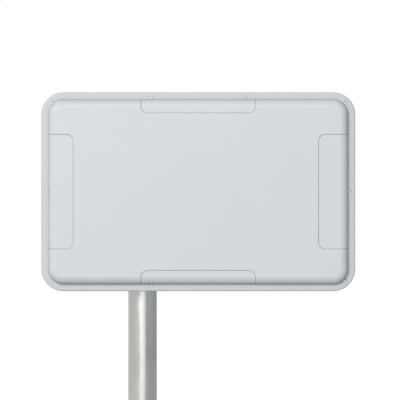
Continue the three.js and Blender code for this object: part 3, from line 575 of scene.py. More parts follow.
def depth_inside(x, y, half_x, half_y, corner):
    """Distance inwards from a rounded rectangle's outline, with the outward direction there."""
    over_x, over_y = abs(x) - (half_x - corner), abs(y) - (half_y - corner)
    if over_x > 0 and over_y > 0:
        length = math.hypot(over_x, over_y)
        return corner - length, Vector((math.copysign(over_x, x), math.copysign(over_y, y))) / length
    if over_x > over_y:
        return corner - over_x, Vector((math.copysign(1, x), 0))
    return corner - over_y, Vector((0, math.copysign(1, y)))


class Recess:
    """A sunk field that opens onto one side of the panel, the one that its direction points to."""

    def __init__(self, direction, reach):
        self.across, self.up = direction
        self.reach = reach

    def spot(self, inwards, along):
        x = self.across * (PANEL_HALF_X - inwards) if self.across else along
        y = self.up * (PANEL_HALF_Y - inwards) if self.up else along
        return x, y

    def lines(self):
        """One open line along each step of the slope, from the rim inwards and back out."""
        start = RIM_WIDTH - 1.6
        made = []
        for offset, _ in RECESS_SLOPE:
            reach, half, corner = self.reach + offset, RECESS_HALF + offset, RECESS_CORNER + offset
            there = arc(reach - corner, -half + corner, corner, -90, 0, 14)
            back = arc(reach - corner, half - corner, corner, 0, 90, 14)
            route = [(start, -half), *there, *divided(there[-1], back[0], 14)[1:], *back, (start, half)]
            made.append([self.spot(*p) for p in route])
        return made

    def share(self, x, y):
        inwards = PANEL_HALF_X - self.across * x if self.across else PANEL_HALF_Y - self.up * y
        along = y if self.across else x
        over = (inwards - (self.reach - RECESS_CORNER), abs(along) - (RECESS_HALF - RECESS_CORNER))
        distance = math.hypot(max(over[0], 0), max(over[1], 0)) + min(max(over), 0) - RECESS_CORNER
        return lookup(RECESS_SLOPE, distance)


class Rib:
    """A raised rib with round ends along x."""

    def __init__(self, y):
        self.y = y
        self.ends = (RIB_ENDS[0] + RIB_HALF_WIDTH, RIB_ENDS[1] - RIB_HALF_WIDTH)

    def lines(self):
        left, right = self.ends
        made = []
        for offset, _ in RIB_SLOPE:
            radius = RIB_HALF_WIDTH + offset
            turn = [*arc(right, self.y, radius, -90, 90, 8), *arc(left, self.y, radius, 90, 270, 8)]
            made.append(turn + turn[:1])
        return made

    def share(self, x, y):
        along = min(max(x, self.ends[0]), self.ends[1])
        return lookup(RIB_SLOPE, math.hypot(x - along, y - self.y) - RIB_HALF_WIDTH)


def lookup(table, key):
    """Straight-line reading of a table of pairs that rises or falls with its key."""
    table = sorted(table)
    if key <= table[0][0]:
        return table[0][1]
    for (low, first), (high, second) in zip(table, table[1:]):
        if key <= high:
            return first + (second - first) * (key - low) / (high - low)
    return table[-1][1]


class Shell:
    """One face of a moulding. Its profile is a list of inset and height, outermost first. Inside the fields
    the sunk profile, which is as long, takes its place, and raise_by lifts it."""

    def __init__(self, profile, sunk=None, fields=(), discs=(), raise_by=0.0):
        self.profile = profile
        self.sunk = sunk or profile
        self.fields = fields
        self.discs = discs
        self.raise_by = raise_by
        self.keys = [profile[0][0]]
        for inset, _ in profile[1:]:
            self.keys.append(max(inset, self.keys[-1] + PLAN_STEP))

    def along_profile(self, key):
        """Inset and height on both profiles, at a distance inwards in the plan."""
        if key >= self.keys[-1]:
            return key, self.profile[-1][1], key, self.sunk[-1][1]
        index = next(i for i, k in enumerate(self.keys) if k >= key) if key > self.keys[0] else 0
        low = max(index - 1, 0)
        span = self.keys[index] - self.keys[low]
        part = (key - self.keys[low]) / span if span else 0.0
        ends = [(*self.profile[i], *self.sunk[i]) for i in (low, index)]
        return tuple(a + (b - a) * part for a, b in zip(*ends))

    def lift(self, x, y):
        """The point on the face that a point of the plan becomes."""
        inside, outward = depth_inside(x, y, PANEL_HALF_X, PANEL_HALF_Y, PANEL_CORNER)
        inset, height, sunk_inset, sunk_height = self.along_profile(inside)
        share = max([field.share(x, y) for field in self.fields], default=0.0)
        height += (sunk_height - height) * share + self.raise_by * share
        inset += (sunk_inset - inset) * share
        shift = outward * (inside - inset)
        for disc_x, disc_y, table, pick in self.discs:
            distance = math.hypot(x - disc_x, y - disc_y)
            if distance <= table[-1][0]:
                height = pick(height, lookup(table, distance))
        return (x + shift.x, y + shift.y, height)

    def build(self, openings):
        """Vertices, faces, and the indices of the outer edge and of each opening's edge."""
        loops = [self.outline(key) for key in self.keys]
        rims = range(len(loops), len(loops) + len(openings))
        loops += [circle(*opening, FEATURE_STEPS) for opening in openings]
        for x, y, table, _ in self.discs:
            loops += [circle(x, y, radius, FEATURE_STEPS) for radius, _ in table]
        lines = [line for field in self.fields for line in field.lines()]
        plan, triangles, places = triangulated(loops, lines)
        edge, open_edges = places[0], [places[k] for k in rims]
        return [self.lift(*p) for p in plan], within(triangles, [edge, *open_edges]), edge, open_edges

    @staticmethod
    def outline(key):
        return rounded_rectangle(PANEL_HALF_X - key, PANEL_HALF_Y - key, PANEL_CORNER - key)


def triangulated(loops, lines=()):
    """A flat triangle net through closed loops and open lines, and where each loop's points are in it."""
    points = []
    edges = []
    starts = []
    for number, loop in enumerate([*loops, *lines]):
        first = len(points)
        starts.append(first)
        edges += [(first + i, first + i + 1) for i in range(len(loop) - 1)]
        if number < len(loops):
            edges.append((first + len(loop) - 1, first))
        points += [Vector(p) for p in loop]
    plan, _, triangles, sources, _, _ = geometry.delaunay_2d_cdt(points, edges, [], 0, 1e-4, True)
    index_of = {source: index for index, origin in enumerate(sources) for source in origin}
    places = [[index_of[first + i] for i in range(len(loop))] for first, loop in zip(starts, loops)]
    return plan, triangles, places


def closed_shell(name, outer, inner, openings, place):
    """Joins an outer and an inner face along their outer edges and round each opening."""
    vertices, faces, edge, rims = outer.build(openings)
    more, other_faces, other_edge, other_rims = inner.build(openings)
    start = len(vertices)
    vertices = vertices + more
    faces = faces + [tuple(i + start for i in f) for f in other_faces]
    for first, second in [(edge, other_edge), *zip(rims, other_rims)]:
        faces += ring_faces(first, [i + start for i in second])
    return make_object(name, vertices, faces, place, angle=60)


def rim_then_shoulder(rim_edge, rim_width, wall, shoulder, sink=0.0):
    """Profile from the rim's outer edge over its flat and up a wall and a quarter round to the face."""
    crease = 0.6
    climb = shoulder - sink
    centre = rim_width + shoulder
    rim = [(rim_edge - x, y - rim_edge) for x, y in arc(0, 0, rim_edge, 0, 90, 6)]
    rim += [(rim_edge + (rim_width - rim_edge) * share, 0) for share in (0.15, 0.45, 0.86)]
    turn = [(rim_width - crease + x, crease + y) for x, y in arc(0, 0, crease, -90, 0, 5)]
    over = [(centre - x * shoulder, wall + y * climb) for x, y in arc(0, 0, 1, 0, 90, 18)]
    return rim + turn + over


def replaced(_, height):
    return height


def discs_at(places, pick, table):
    """Round features of a shell: heights by radius, at each place, and how they meet the height there."""
    return [(x, y, table, pick) for x, y in places]


def numbered(pattern, count):
    return [pattern.format(i + 1) for i in range(count)]


def through_panel(nodes):
    """Middles of nodes, seen along the panel's own z."""
    middles = [PANEL.inverted() @ centre_mm(node) for node in nodes]
    return [(m.x, m.y) for m in middles]


COVER_NODES = numbered("cover_screw_{:02d}", 10)
BRACKET_NODES = numbered("bracket_screw_{}", 4)
CARRIER_NODES = numbered("carrier_screw_{}", 4)
BOARD_NODES = numbered("board_screw_{}", 2)
COVER_SCREWS = through_panel(COVER_NODES)
BRACKET_SCREWS = through_panel(BRACKET_NODES)
CARRIER_SCREWS = through_panel(CARRIER_NODES)
BOARD_SCREWS = through_panel(BOARD_NODES)
GLAND_AT, VENT_AT = through_panel(["gland_locknut", "vent_plug"])

SCREW_HOLE = 2.4
COUNTERBORE = 3.7
COUNTERBORE_DEPTH = 2.2


def front_cover():
    recesses = [Recess(*sizes) for sizes in RECESSES]
    wide, floor = COUNTERBORE, -COUNTERBORE_DEPTH
    counterbore = [(SCREW_HOLE, floor), (wide - 0.05, floor), (wide, floor + 0.1)]
    counterbore += [(wide + 0.04, -0.25), (wide + 0.25, 0)]
    shape = (RIM_EDGE, RIM_WIDTH, COVER_WALL, SHOULDER)
    heads = discs_at(COVER_SCREWS, min, counterbore)
    outer = Shell(rim_then_shoulder(*shape), rim_then_shoulder(*shape, RECESS_DEPTH), recesses, heads)
    hollow = RIM_WIDTH + COVER_WALL
    dome = SHOULDER - COVER_WALL
    underside = [(0, 0.3 - RIM_THICKNESS), (0.3, -RIM_THICKNESS), (hollow - 0.4, -RIM_THICKNESS)]
    underside += [(hollow, 0.4 - RIM_THICKNESS)]
    underside += [(hollow + dome - x, COVER_WALL + y) for x, y in arc(0, 0, dome, 0, 90, 10)]
    openings = [(x, y, SCREW_HOLE) for x, y in COVER_SCREWS]
    cover = closed_shell("front_cover_shell", outer, Shell(underside), openings, PANEL)
    # Painted shade in the crease, on the recesses' steps and round the rim.
    paint_shade(cover, recesses)
    stand_for(cover, "front_cover")


# Strengths of painted shade by inset on the rim, by height above it, and on the recesses' steps
RIM_PAINTED_SHADE = [(0.4, 1.5), (1.5, 0.6), (2.6, 0.5), (5, 0.85), (9, 0.9), (14, 1.3), (15, 3.5)]
WALL_PAINTED_SHADE = [(0, 3.8), (0.6, 3.7), (3, 1.7), (5, 0.4), (7, 0)]
STEP_PAINTED_SHADE = 3.7


def paint_shade(cover, recesses):
    """Painted shade that the material darkens by: slight across the rim and more at its rounded outer edge,
    most in the crease and on the recesses' steps.
    """
    to_panel = PANEL.inverted()
    levels = []
    for vertex in cover.data.vertices:
        place = to_panel @ (vertex.co / MM)
        inset = depth_inside(place.x, place.y, PANEL_HALF_X, PANEL_HALF_Y, PANEL_CORNER)[0]
        on_rim = inset < RIM_WIDTH - 0.5
        share = 0 if on_rim else max(recess.share(place.x, place.y) for recess in recesses)
        step = STEP_PAINTED_SHADE * min(1, 12 * share * (1 - share))
        levels.append(max(step, lookup(RIM_PAINTED_SHADE, inset) if on_rim else lookup(WALL_PAINTED_SHADE, place.z)))
    cover.data.attributes.new("painted_shade", "FLOAT", "POINT").data.foreach_set("value", levels)


TRAY_WIDTH = 18
TRAY_WALL = 3
TRAY_SHOULDER = 12
TRAY_DEPTH = 25
TRAY_RIM_EDGE = 2.5
GLAND_HOLE = 8.3
VENT_HOLE = 4.3


def rear_tray():
    """Heights run backwards here, from the rim's front plane, and round features list them by radius."""
    front, back = -in_panel("rear_tray")[1].z, -in_panel("seal_gasket")[0].z + GAP + TRAY_DEPTH
    rim_back = front + RIM_THICKNESS
    pan = rim_then_shoulder(TRAY_RIM_EDGE, TRAY_WIDTH, back - rim_back - TRAY_SHOULDER, TRAY_SHOULDER)
    pan = [(inset, rim_back + height) for inset, height in pan]
    boss = [(3.6, front + 14), (4.8, front + 13.8), (5.3, front + 13.2), (5.5, front + 12.4)]
    boss += [(5.75, rim_back + 0.5), (6.3, rim_back)]
    blind = [(3.25, 18), (3.3, 18.2), (3.35, back - 0.3), (3.7, back)]
    discs = discs_at(COVER_SCREWS, max, boss) + discs_at(BRACKET_SCREWS, min, blind)
    outer = Shell(pan, None, [Rib(y) for y in RIBS_Y], discs, RIB_HEIGHT)
    inset = TRAY_WIDTH + TRAY_WALL
    bend = TRAY_SHOULDER - TRAY_WALL
    floor = back - TRAY_WALL
    inner = [(0, front + 0.3), (0.3, front), (inset - 0.3, front), (inset, front + 0.3)]
    inner += [(inset + bend - x, floor - bend + y) for x, y in arc(0, 0, bend, 0, 90, 8)]
    seat = -in_panel("antenna_carrier")[0].z + GAP
    board = -in_panel("tuning_board")[0].z + GAP
    plain_post = [(3.95, board), (4, floor)]
    across = sum(x for x, _ in BOARD_SCREWS)
    other_corners = [(across - x, y) for x, y in BOARD_SCREWS]
    posts = discs_at(CARRIER_SCREWS, replaced, [(2.3, 24), (2.35, seat), (5.45, seat), (5.5, floor)])
    posts += discs_at(BOARD_SCREWS, replaced, [(1.8, floor - 1), (1.85, board), *plain_post])
    posts += discs_at(other_corners, replaced, plain_post)
    posts += discs_at(BRACKET_SCREWS, min, [(8.95, 16), (9, floor)])
    posts += discs_at(COVER_SCREWS, max, [(SCREW_HOLE, front + 12.5), (SCREW_HOLE + 0.05, front)])
    openings = [(*GLAND_AT, GLAND_HOLE), (*VENT_AT, VENT_HOLE)]
    tray = closed_shell("rear_tray_shell", outer, Shell(inner, discs=posts), openings, PANEL @ MIRRORED)
    stand_for(tray, "rear_tray")


def seal_gasket():
    low, high = in_panel("seal_gasket")
    half_x, half_y = (high.x - low.x) / 2, (high.y - low.y) / 2
    outer = rounded_rectangle(half_x, half_y, PANEL_CORNER - (PANEL_HALF_X - half_x))
    window = Shell.outline(TRAY_WIDTH)
    holes = [hole(x, y, SCREW_HOLE, 20) for x, y in COVER_SCREWS]
    made = prism("seal_gasket_ring", [outer, window[::-1], *holes], low.z, high.z, 0.3, PANEL)
    stand_for(made, "seal_gasket")


# ---- Post tube ----

EXIT_RADIUS = 10


def post_tube():
    """The exit's middle has a line to each side of it, so that the drilled hole cuts short faces."""
    bottom, top, inner = TUBE_LOW.z, TUBE_HIGH.z, POST_RADIUS - POST_WALL
    exit_z = centre_mm("cable_grommet").z
    below, above = exit_z - 2 * EXIT_RADIUS, exit_z + 2 * EXIT_RADIUS
    profile = [(inner, bottom), (POST_RADIUS - 1, bottom), (POST_RADIUS, bottom + 1), (POST_RADIUS, below)]
    profile += [(POST_RADIUS, above), (POST_RADIUS, top - 0.6), (POST_RADIUS - 0.6, top), (inner + 0.4, top)]
    profile += [(inner, top - 0.4), (inner, above), (inner, below)]
    tube = lathe("post_tube_drawn", profile, steps=96)
    cutter = [(0, 10), (EXIT_RADIUS, 10), (EXIT_RADIUS, 40), (0, 40)]
    backwards = Matrix.Translation((0, 0, exit_z)) @ FORWARDS.inverted()
    exit_drill = lathe("drill", cutter, backwards, steps=48)
    stand_for(combine(tube, exit_drill, "DIFFERENCE"), "post_tube", material=DRAWN_STEEL)


# ---- Fasteners: made once along z with the seat at z = 0, then set out where the frame has them ----

COVER_HEAD = 1.7  # heights of the heads
CLAMP_HEAD = 5.3
CARRIER_HEAD = 2.4
BOARD_HEAD = 1.8
BRACKET_HEAD = 4.2
CLAMP_NUT = 6.5
CLAMP_HOLE = 4.3


def thread_rings(radius, start, stop, pitch):
    """Rings for a thread that spun() ridges, four to each turn."""
    count = round((stop - start) / pitch * 4)
    return [(radius, start + (stop - start) * i / count) for i in range(count + 1)]


def set_out(model, nodes, places):
    """A copy of the model, which shares its mesh, for each node and place."""
    for node, place in zip(nodes, places):
        copy = show(node + "_detailed", model.data)
        copy.matrix_world = place
        copy.location *= MM
        stand_for(copy, node)
    bpy.data.objects.remove(model)


def seats(nodes, head, backwards=False):
    """Places for fasteners whose heads face the panel's front, or its back, from their heads' height."""
    made = []
    for node in nodes:
        low, high = in_panel(node)
        seat = low.z + head if backwards else high.z - head
        place = at_panel((low.x + high.x) / 2, (low.y + high.y) / 2, seat)
        made.append(place @ OVER if backwards else place)
    return made


def plus_cutter(arm, width, deep, top):
    """A tapering cross that cuts a driver's recess."""
    outline = []
    for quarter in range(4):
        turn = Matrix.Rotation(quarter * math.pi / 2, 2)
        outline += [tuple(turn @ Vector(p)) for p in ((arm, -width), (arm, width), (width, width))]
    lower = [(x * 0.5, y * 0.5, top - deep) for x, y in outline]
    return swept("cutter", [lower, [(x, y, top + 0.2) for x, y in outline]], angle=SHARP)


def pan_head_screw(radius, length, head_radius, head_height, pitch):
    start, stop = radius * 0.6 - length, -0.8
    rings = [(0, -length), (radius * 0.45, -length + 0.1), *thread_rings(radius, start, stop, pitch)]
    rings += [(radius * 0.9, stop + 0.2), (radius * 0.9, 0), (head_radius - 0.15, 0), (head_radius, 0.12)]
    bend = head_height * 0.62
    rings += [(head_radius - bend + x, head_height - bend + y) for x, y in arc(0, 0, bend, 0, 80, 5)]
    rings.append((0, head_height))
    screw = spun("pan_head", rings, thread=(start, stop, pitch, radius * 0.16), steps=32)
    cutter = plus_cutter(head_radius * 0.48, head_radius * 0.11, head_height * 0.6, head_height)
    return combine(screw, cutter, "DIFFERENCE")


def hex_bolt(radius, length, threaded, pitch, hexagon, height, flange=0.0, flange_height=1.2):
    start, stop = -length + 0.8, threaded - length
    rings = [(0, -length), (radius - 0.8, -length), *thread_rings(radius, start, stop, pitch)]
    rings += [(radius, stop + 0.1), (radius, 0)]
    base = 0.0
    if flange:
        rings += [(flange - 0.2, 0), (flange, 0.25), (flange, flange_height * 0.6), (hexagon, flange_height)]
        base = flange_height + 0.01
    apothem = hexagon * math.cos(math.pi / 6)
    rings += [(apothem * 0.97, base), (hexagon, base + 0.5), (hexagon, height - 0.9)]
    rings += [(apothem * 0.96, height - 0.15), (apothem * 0.9, height), (0, height)]
    hexagons = [(base + 0.4, height - 0.1, hexagon)]
    return spun("hex_bolt", rings, thread=(start, stop, pitch, 0.61 * pitch), hexagons=hexagons)


def hex_nut(bore, hexagon, height, pitch):
    apothem = hexagon * math.cos(math.pi / 6)
    rings = [(bore, 0.6), (bore + 0.5, 0), (apothem * 0.95, 0), (hexagon, 0.7), (hexagon, height - 0.7)]
    rings += [(apothem * 0.95, height), (bore + 0.5, height)]
    rings += thread_rings(bore, height - 0.6, 0.7, -pitch)
    thread = (0.65, height - 0.55, pitch, -0.4 * pitch)
    return spun("hex_nut", rings, thread=thread, hexagons=[(0.1, height - 0.1, hexagon)], closed=True)


def fasteners():
    bolts = [f"{side}_clamp_bolt_{i}" for side in ("upper", "lower") for i in (1, 2)]
    nuts = [node.replace("bolt", "nut") for node in bolts]
    low, high = box_mm(bolts[0])
    length = high.y - low.y - CLAMP_HEAD
    for nodes, seat, model in (
        (COVER_NODES, COVER_HEAD, pan_head_screw(2, 15, 3.4, COVER_HEAD, 1.4)),
        (CARRIER_NODES, CARRIER_HEAD, pan_head_screw(2, 16, 4, CARRIER_HEAD, 1.4)),
        (BOARD_NODES, BOARD_HEAD, pan_head_screw(1.5, 7, 2.8, BOARD_HEAD, 1.0)),
        (BRACKET_NODES, BRACKET_HEAD, hex_bolt(3, 15, 13, 1.0, 5.6, BRACKET_HEAD, flange=7)),
        (bolts, CLAMP_HEAD, hex_bolt(4, length, 26, 1.25, 7.5, CLAMP_HEAD)),
        (nuts, CLAMP_NUT, hex_nut(CLAMP_HOLE, 7.5, CLAMP_NUT, 1.25)),
    ):
        set_out(model, nodes, seats(nodes, seat, backwards=nodes is BRACKET_NODES))


# ---- Bracket and clamps ----


def path(*corners, steps=5):
    """A closed outline of corners, each x, y and the radius that rounds it, and of lists of points."""
    flat = []
    for corner in corners:
        flat += [(*p, 0) for p in corner] if isinstance(corner, list) else [corner]
    made = []
    for index, (x, y, radius) in enumerate(flat):
        if not radius:
            made.append((x, y))
            continue
        here = Vector((x, y))
        back = (Vector(flat[index - 1][:2]) - here).normalized()
        ahead = (Vector(flat[(index + 1) % len(flat)][:2]) - here).normalized()
        half = back.angle(ahead) / 2
        reach = radius / math.tan(half)
        centre = here + (back + ahead).normalized() * radius / math.sin(half)
        first = here + back * reach - centre
        turn = first.angle_signed(here + ahead * reach - centre)
        made += [tuple(centre + Matrix.Rotation(-turn * i / steps, 2) @ first) for i in range(steps + 1)]
    return made


HAT_SHEET = 3.5
HAT_BEND = 3.75  # radius at the middle of the sheet
HAT_QUARTER = HAT_BEND * math.pi / 2
HAT_WALL_X = 59.5 - HAT_SHEET / 2  # middle of the sheet in the hat's side walls
HAT_CORNER = 12
HAT_EDGE = 0.6
HAT_SCREW_X = 76
HAT_SCREW_HOLE = 3.3
CLAMP_BOLT_X = 43.5
CLAMP_LEVELS = (-100, 100)


def hat_section(reach, start, stretches):
    """Middle of the hat's sheet and its direction at a distance along the sheet from the web's middle."""
    spot, heading = Vector((0, start)), Vector((1, 0))
    for length, bend in stretches:
        step = min(reach, length)
        if bend:
            side = Vector((-heading.y, heading.x)) * bend
            turn = step / HAT_BEND
            spot += (heading * math.sin(turn) + side * (1 - math.cos(turn))) * HAT_BEND
            heading = heading * math.cos(turn) + side * math.sin(turn)
        else:
            spot += heading * step
        reach -= step
        if reach <= 0:
            break
    return spot, heading


def hat_bracket():
    """A flat blank with its holes, folded twice on each side."""
    low, high = in_panel("hat_bracket")
    half_x, half_y = (high.x - low.x) / 2, (high.y - low.y) / 2
    first_bend = HAT_WALL_X - HAT_BEND
    climb = high.z - low.z - HAT_SHEET - 2 * HAT_BEND
    second_bend = first_bend + HAT_QUARTER + climb
    stretches = ((first_bend, 0), (HAT_QUARTER, 1), (climb, 0), (HAT_QUARTER, -1), (math.inf, 0))
    spread = second_bend + HAT_QUARTER - (first_bend + 2 * HAT_BEND)
    blank = half_x + spread
    holes = ((HAT_SCREW_X + spread, HAT_SCREW_HOLE), (CLAMP_BOLT_X, CLAMP_HOLE))
    openings = [(side * x, y, radius) for x, radius in holes for side in (-1, 1) for y in CLAMP_LEVELS]
    loops = [rounded_rectangle(blank - i, half_y - i, HAT_CORNER - i, 8) for i in (0, HAT_EDGE)]
    loops += [circle(x, y, radius + grow, 32) for x, y, radius in openings for grow in (0, HAT_EDGE)]
    bends = [start + HAT_QUARTER * i / 6 for start in (first_bend, second_bend) for i in range(7)]
    ends = [((side * s, -half_y), (side * s, half_y)) for s in bends for side in (-1, 1)]
    lines = [divided(start, stop, 23) + [stop] for start, stop in ends]
    plan, triangles, places = triangulated(loops, lines)
    cut = {tuple(t) for t in within(triangles, places[2::2])}
    kept = [tuple(t) for t in triangles if tuple(t) not in cut]
    vertices = []
    for face in (-1, 1):
        for point in plan:
            middle, along = hat_section(abs(point.x), low.z + HAT_SHEET / 2, stretches)
            inside = depth_inside(point.x, point.y, blank, half_y, HAT_CORNER)[0]
            inside = min([inside] + [math.dist(point, (x, y)) - radius for x, y, radius in openings])
            half = HAT_SHEET / 2 - max(0.0, HAT_EDGE - max(inside, 0.0))
            lifted = middle + Vector((-along.y, along.x)) * half * face
            vertices.append(((low.x + high.x) / 2 + math.copysign(lifted.x, point.x), point.y, lifted.y))
    count = len(plan)
    faces = kept + [tuple(i + count for i in t) for t in kept]
    sides = [frozenset(pair) for a, b, c in kept for pair in ((a, b), (b, c), (c, a))]
    faces += [(a, b, b + count, a + count) for (a, b), uses in Counter(sides).items() if uses == 1]
    stand_for(make_object("hat_bracket_folded", vertices, faces, PANEL), "hat_bracket")


CLAMP_BORE = POST_RADIUS + 0.35
CLAMP_HALF_WIDTH = 54
PARTING = 1.5  # from the post's axis to each half's flat face
PARTING_EDGE = 1.3
CAST_EDGE = 1.2
EAR = 10  # thickness of the strap's ears
STRAP_RADIUS = 37
SADDLE_SHOULDER = 16


def bore_arc(side):
    """The clamp's bore, behind (1) or before (-1) the parting plane, in the outline's direction."""
    start = math.degrees(math.asin(PARTING / CLAMP_BORE))
    ends = (180 - start, start) if side > 0 else (-start, start - 180)
    return arc(0, 0, CLAMP_BORE, *ends, 28)


def clamp_half(node, outline):
    low, high = box_mm(node)
    half = prism(node + "_cast", [outline], low.z, high.z, CAST_EDGE, steps=4)
    for side in (-1, 1):
        through = Matrix.Translation((side * CLAMP_BOLT_X, 0, (low.z + high.z) / 2)) @ FORWARDS
        half = combine(half, drill(CLAMP_HOLE, 60, through), "DIFFERENCE")
    stand_for(half, node)


def clamps():
    w, shoulder, ear = CLAMP_HALF_WIDTH, -SADDLE_SHOULDER, PARTING + EAR
    turn = math.degrees(math.asin(ear / STRAP_RADIUS))
    root = STRAP_RADIUS * math.cos(math.radians(turn))
    crown = arc(0, 0, STRAP_RADIUS, turn + 3, 177 - turn, 26)
    for level in ("upper", "lower"):
        saddle, strap = f"{level}_clamp_saddle", f"{level}_clamp_strap"
        front = box_mm(saddle)[0].y
        clamp_half(saddle, path((-w, shoulder, 4), (-w + 4, front, 3), (w - 4, front, 3), (w, shoulder, 4),
                                (w, -PARTING, PARTING_EDGE), bore_arc(-1), (-w, -PARTING, PARTING_EDGE)))
        clamp_half(strap, path((-w, PARTING, PARTING_EDGE), bore_arc(1), (w, PARTING, PARTING_EDGE),
                               (w, ear, 4), (root, ear, 0), crown, (-root, ear, 0), (-w, ear, 4)))


# ---- Cable gland and vent: their heights run backwards, from the rim's front plane ----

GLAND_RADIUS = 8
GLAND_BORE = 4.5
GLAND_PITCH = 1.5
GLAND_HEXAGON = 12.5  # circumradius
GLAND_COLLAR = 6
CAP_RADIUS = 11
TRAY_BACK = -in_panel("rear_tray")[0].z - RIB_HEIGHT + GAP  # where the pieces seat on the tray


def behind_panel(node):
    """A node's front and back, as heights that run backwards."""
    low, high = in_panel(node)
    return -high.z, -low.z


def cable_gland():
    place = at_panel(*GLAND_AT) @ MIRRORED
    root, tip = behind_panel("gland_body")
    r, bore, seat, top = GLAND_RADIUS, GLAND_BORE, TRAY_BACK, TRAY_BACK + GLAND_COLLAR
    rings = [(bore, root + 0.5), (bore + 0.5, root), (r - 0.6, root)]
    rings += thread_rings(r, root + 0.6, seat - 0.4, GLAND_PITCH)
    rings += [(r, seat), (GLAND_HEXAGON - 0.5, seat), (GLAND_HEXAGON, seat + 0.6), (GLAND_HEXAGON, top - 0.8)]
    rings += [(11.2, top), (r, top), *thread_rings(r, top + 0.4, tip - 0.6, GLAND_PITCH)]
    rings += [(r - 0.6, tip), (bore + 0.5, tip), (bore, tip - 0.5)]
    hexagons = [(seat + 0.1, top - 0.1, GLAND_HEXAGON)]
    stand_for(spun("gland_body_detailed", rings, place, hexagons=hexagons, closed=True), "gland_body")
    low, high = behind_panel("gland_cap")
    rings = [(8.3, low + 0.3), (8.6, low), (CAP_RADIUS - 0.4, low), (CAP_RADIUS, low + 0.5)]
    rings += [(CAP_RADIUS, low + 9.6), (CAP_RADIUS - 0.4, high - 5.6)]
    rings += [(8.9 - 0.35 * i, high - 3.4 + 0.75 * i) for i in range(5)]
    rings += [(7.1, high), (5, high), (bore, high - 0.5), (bore, high - 5), (8.3, high - 6)]
    grips = (low + 0.4, low + 9.8, 12, 1.0)
    stand_for(spun("gland_cap_detailed", rings, place, 96, lobes=grips, closed=True), "gland_cap")
    low, high = in_panel("gland_locknut")
    nut = hex_nut(GLAND_HOLE, 13, high.z - low.z, GLAND_PITCH)
    set_out(nut, ["gland_locknut"], [at_panel(*GLAND_AT, low.z)])


def vent():
    place = at_panel(*VENT_AT) @ MIRRORED
    root, top = behind_panel("vent_plug")
    seat = TRAY_BACK
    rings = [(0, root), (3.4, root), (4, root + 0.6), (4, seat), (8.1, seat), (8.5, seat + 0.4)]
    rings += [(8.5, seat + 1.3), (8.2, seat + 1.7), (6.3, top - 0.3), (5.9, top), (4.6, top)]
    rings += [(4.4, top - 0.8), (1.6, top - 0.8), (1.4, top - 0.3), (0, top - 0.3)]
    grips = (seat + 0.3, seat + 1.4, 16, 0.5)
    stand_for(spun("vent_plug_detailed", rings, place, lobes=grips), "vent_plug")


# ---- Inside the housing ----

CARRIER_PLATE = 3
CARRIER_LIP = 3
CARRIER_CORNER = 25
LEAD_HOLE = (0, -118, 14)  # x, y and radius
LEAD_RADIUS = 1.6
LOOP_STRIP = 14
LOOP_CORNER = 40
LOOP_HALF_GAP = 12
CAN_WALL = 0.8
CAN_CORNER = 1.8
TERMINAL_PITCH = 5  # from the block's middle to each way
TERMINAL_WAY = 2.2
TRIMMER_BASE = 4


def outline_of(node, corner, inset=0.0):
    low, high = in_panel(node)
    loop = rounded_rectangle((high.x - low.x) / 2 - inset, (high.y - low.y) / 2 - inset, corner - inset, 10)
    return [(x + (low.x + high.x) / 2, y + (low.y + high.y) / 2) for x, y in loop]


def flat_piece(node, corner, edge, holes=()):
    low, high = in_panel(node)
    return prism(node + "_formed", [outline_of(node, corner), *holes], low.z, high.z, edge, PANEL)


def hollowed(made, loop, low, high, edge=0.3):
    return combine(made, prism("cutter", [loop], low, high, edge, PANEL), "DIFFERENCE")


def antenna_carrier():
    low, high = in_panel("antenna_carrier")
    holes = [hole(x, y, SCREW_HOLE) for x, y in CARRIER_SCREWS] + [hole(*LEAD_HOLE)]
    carrier = flat_piece("antenna_carrier", CARRIER_CORNER, 0.6, holes)
    tray = outline_of("antenna_carrier", CARRIER_CORNER, CARRIER_LIP)
    stand_for(hollowed(carrier, tray, low.z + CARRIER_PLATE, high.z + 2, 0.6), "antenna_carrier")


def antenna_loop():
    """A strip loop that is open at the middle of its lower side."""
    low, high = in_panel("antenna_loop")
    x, y = high.x - LOOP_CORNER, high.y - LOOP_CORNER
    sides = []
    for inset in (0, LOOP_STRIP):
        turns = []
        for index, middle in enumerate(((x, -y), (x, y), (-x, y), (-x, -y))):
            turns += arc(*middle, LOOP_CORNER - inset, 90 * index - 90, 90 * index, 16)
        bottom = inset - high.y
        sides.append([(LOOP_HALF_GAP, bottom), *turns, (-LOOP_HALF_GAP, bottom)])
    outline = sides[0] + sides[1][::-1]
    stand_for(prism("antenna_loop_strip", [outline], low.z, high.z, 0.3, PANEL), "antenna_loop")


def feed_leads():
    """Wires from the terminals through the carrier's hole to the loop's two ends, each end soldered."""
    board = in_panel("tuning_board")[0].z
    block = sum(in_panel("terminal_block"), Vector()) / 2
    low, high = in_panel("antenna_loop")
    strip_y = low.y + LOOP_STRIP / 2
    above = high.z + GAP + LEAD_RADIUS
    for side, node in ((-1, "feed_lead_left"), (1, "feed_lead_right")):
        terminal_x = block.x + TERMINAL_PITCH * side
        end = ((LOOP_HALF_GAP + 5) * side, strip_y - 3)
        route = [
            (terminal_x, block.y - 6, board + 7),
            (terminal_x, block.y - 30, board + 7),
            (12 + 5 * side, LEAD_HOLE[1] + 18, -14),
            (4 * side, LEAD_HOLE[1], -5),
            (9 * side, strip_y + 12, above + 1),
            ((LOOP_HALF_GAP + 4) * side, strip_y + 3, above),
            (*end, above),
        ]
        stand_for(wire(node + "_round", route), node)
        dome = [(0, 0), (3.4, 0), (3.2, 0.5), (2.5, 1.8), (1.4, 3.2), (0.6, 3.7), (0, 3.8)]
        joint = lathe(node + "_solder", dome, at_panel(*end, high.z), 0.4, 32)
        dress(joint, "tinned_steel", "panel_head")


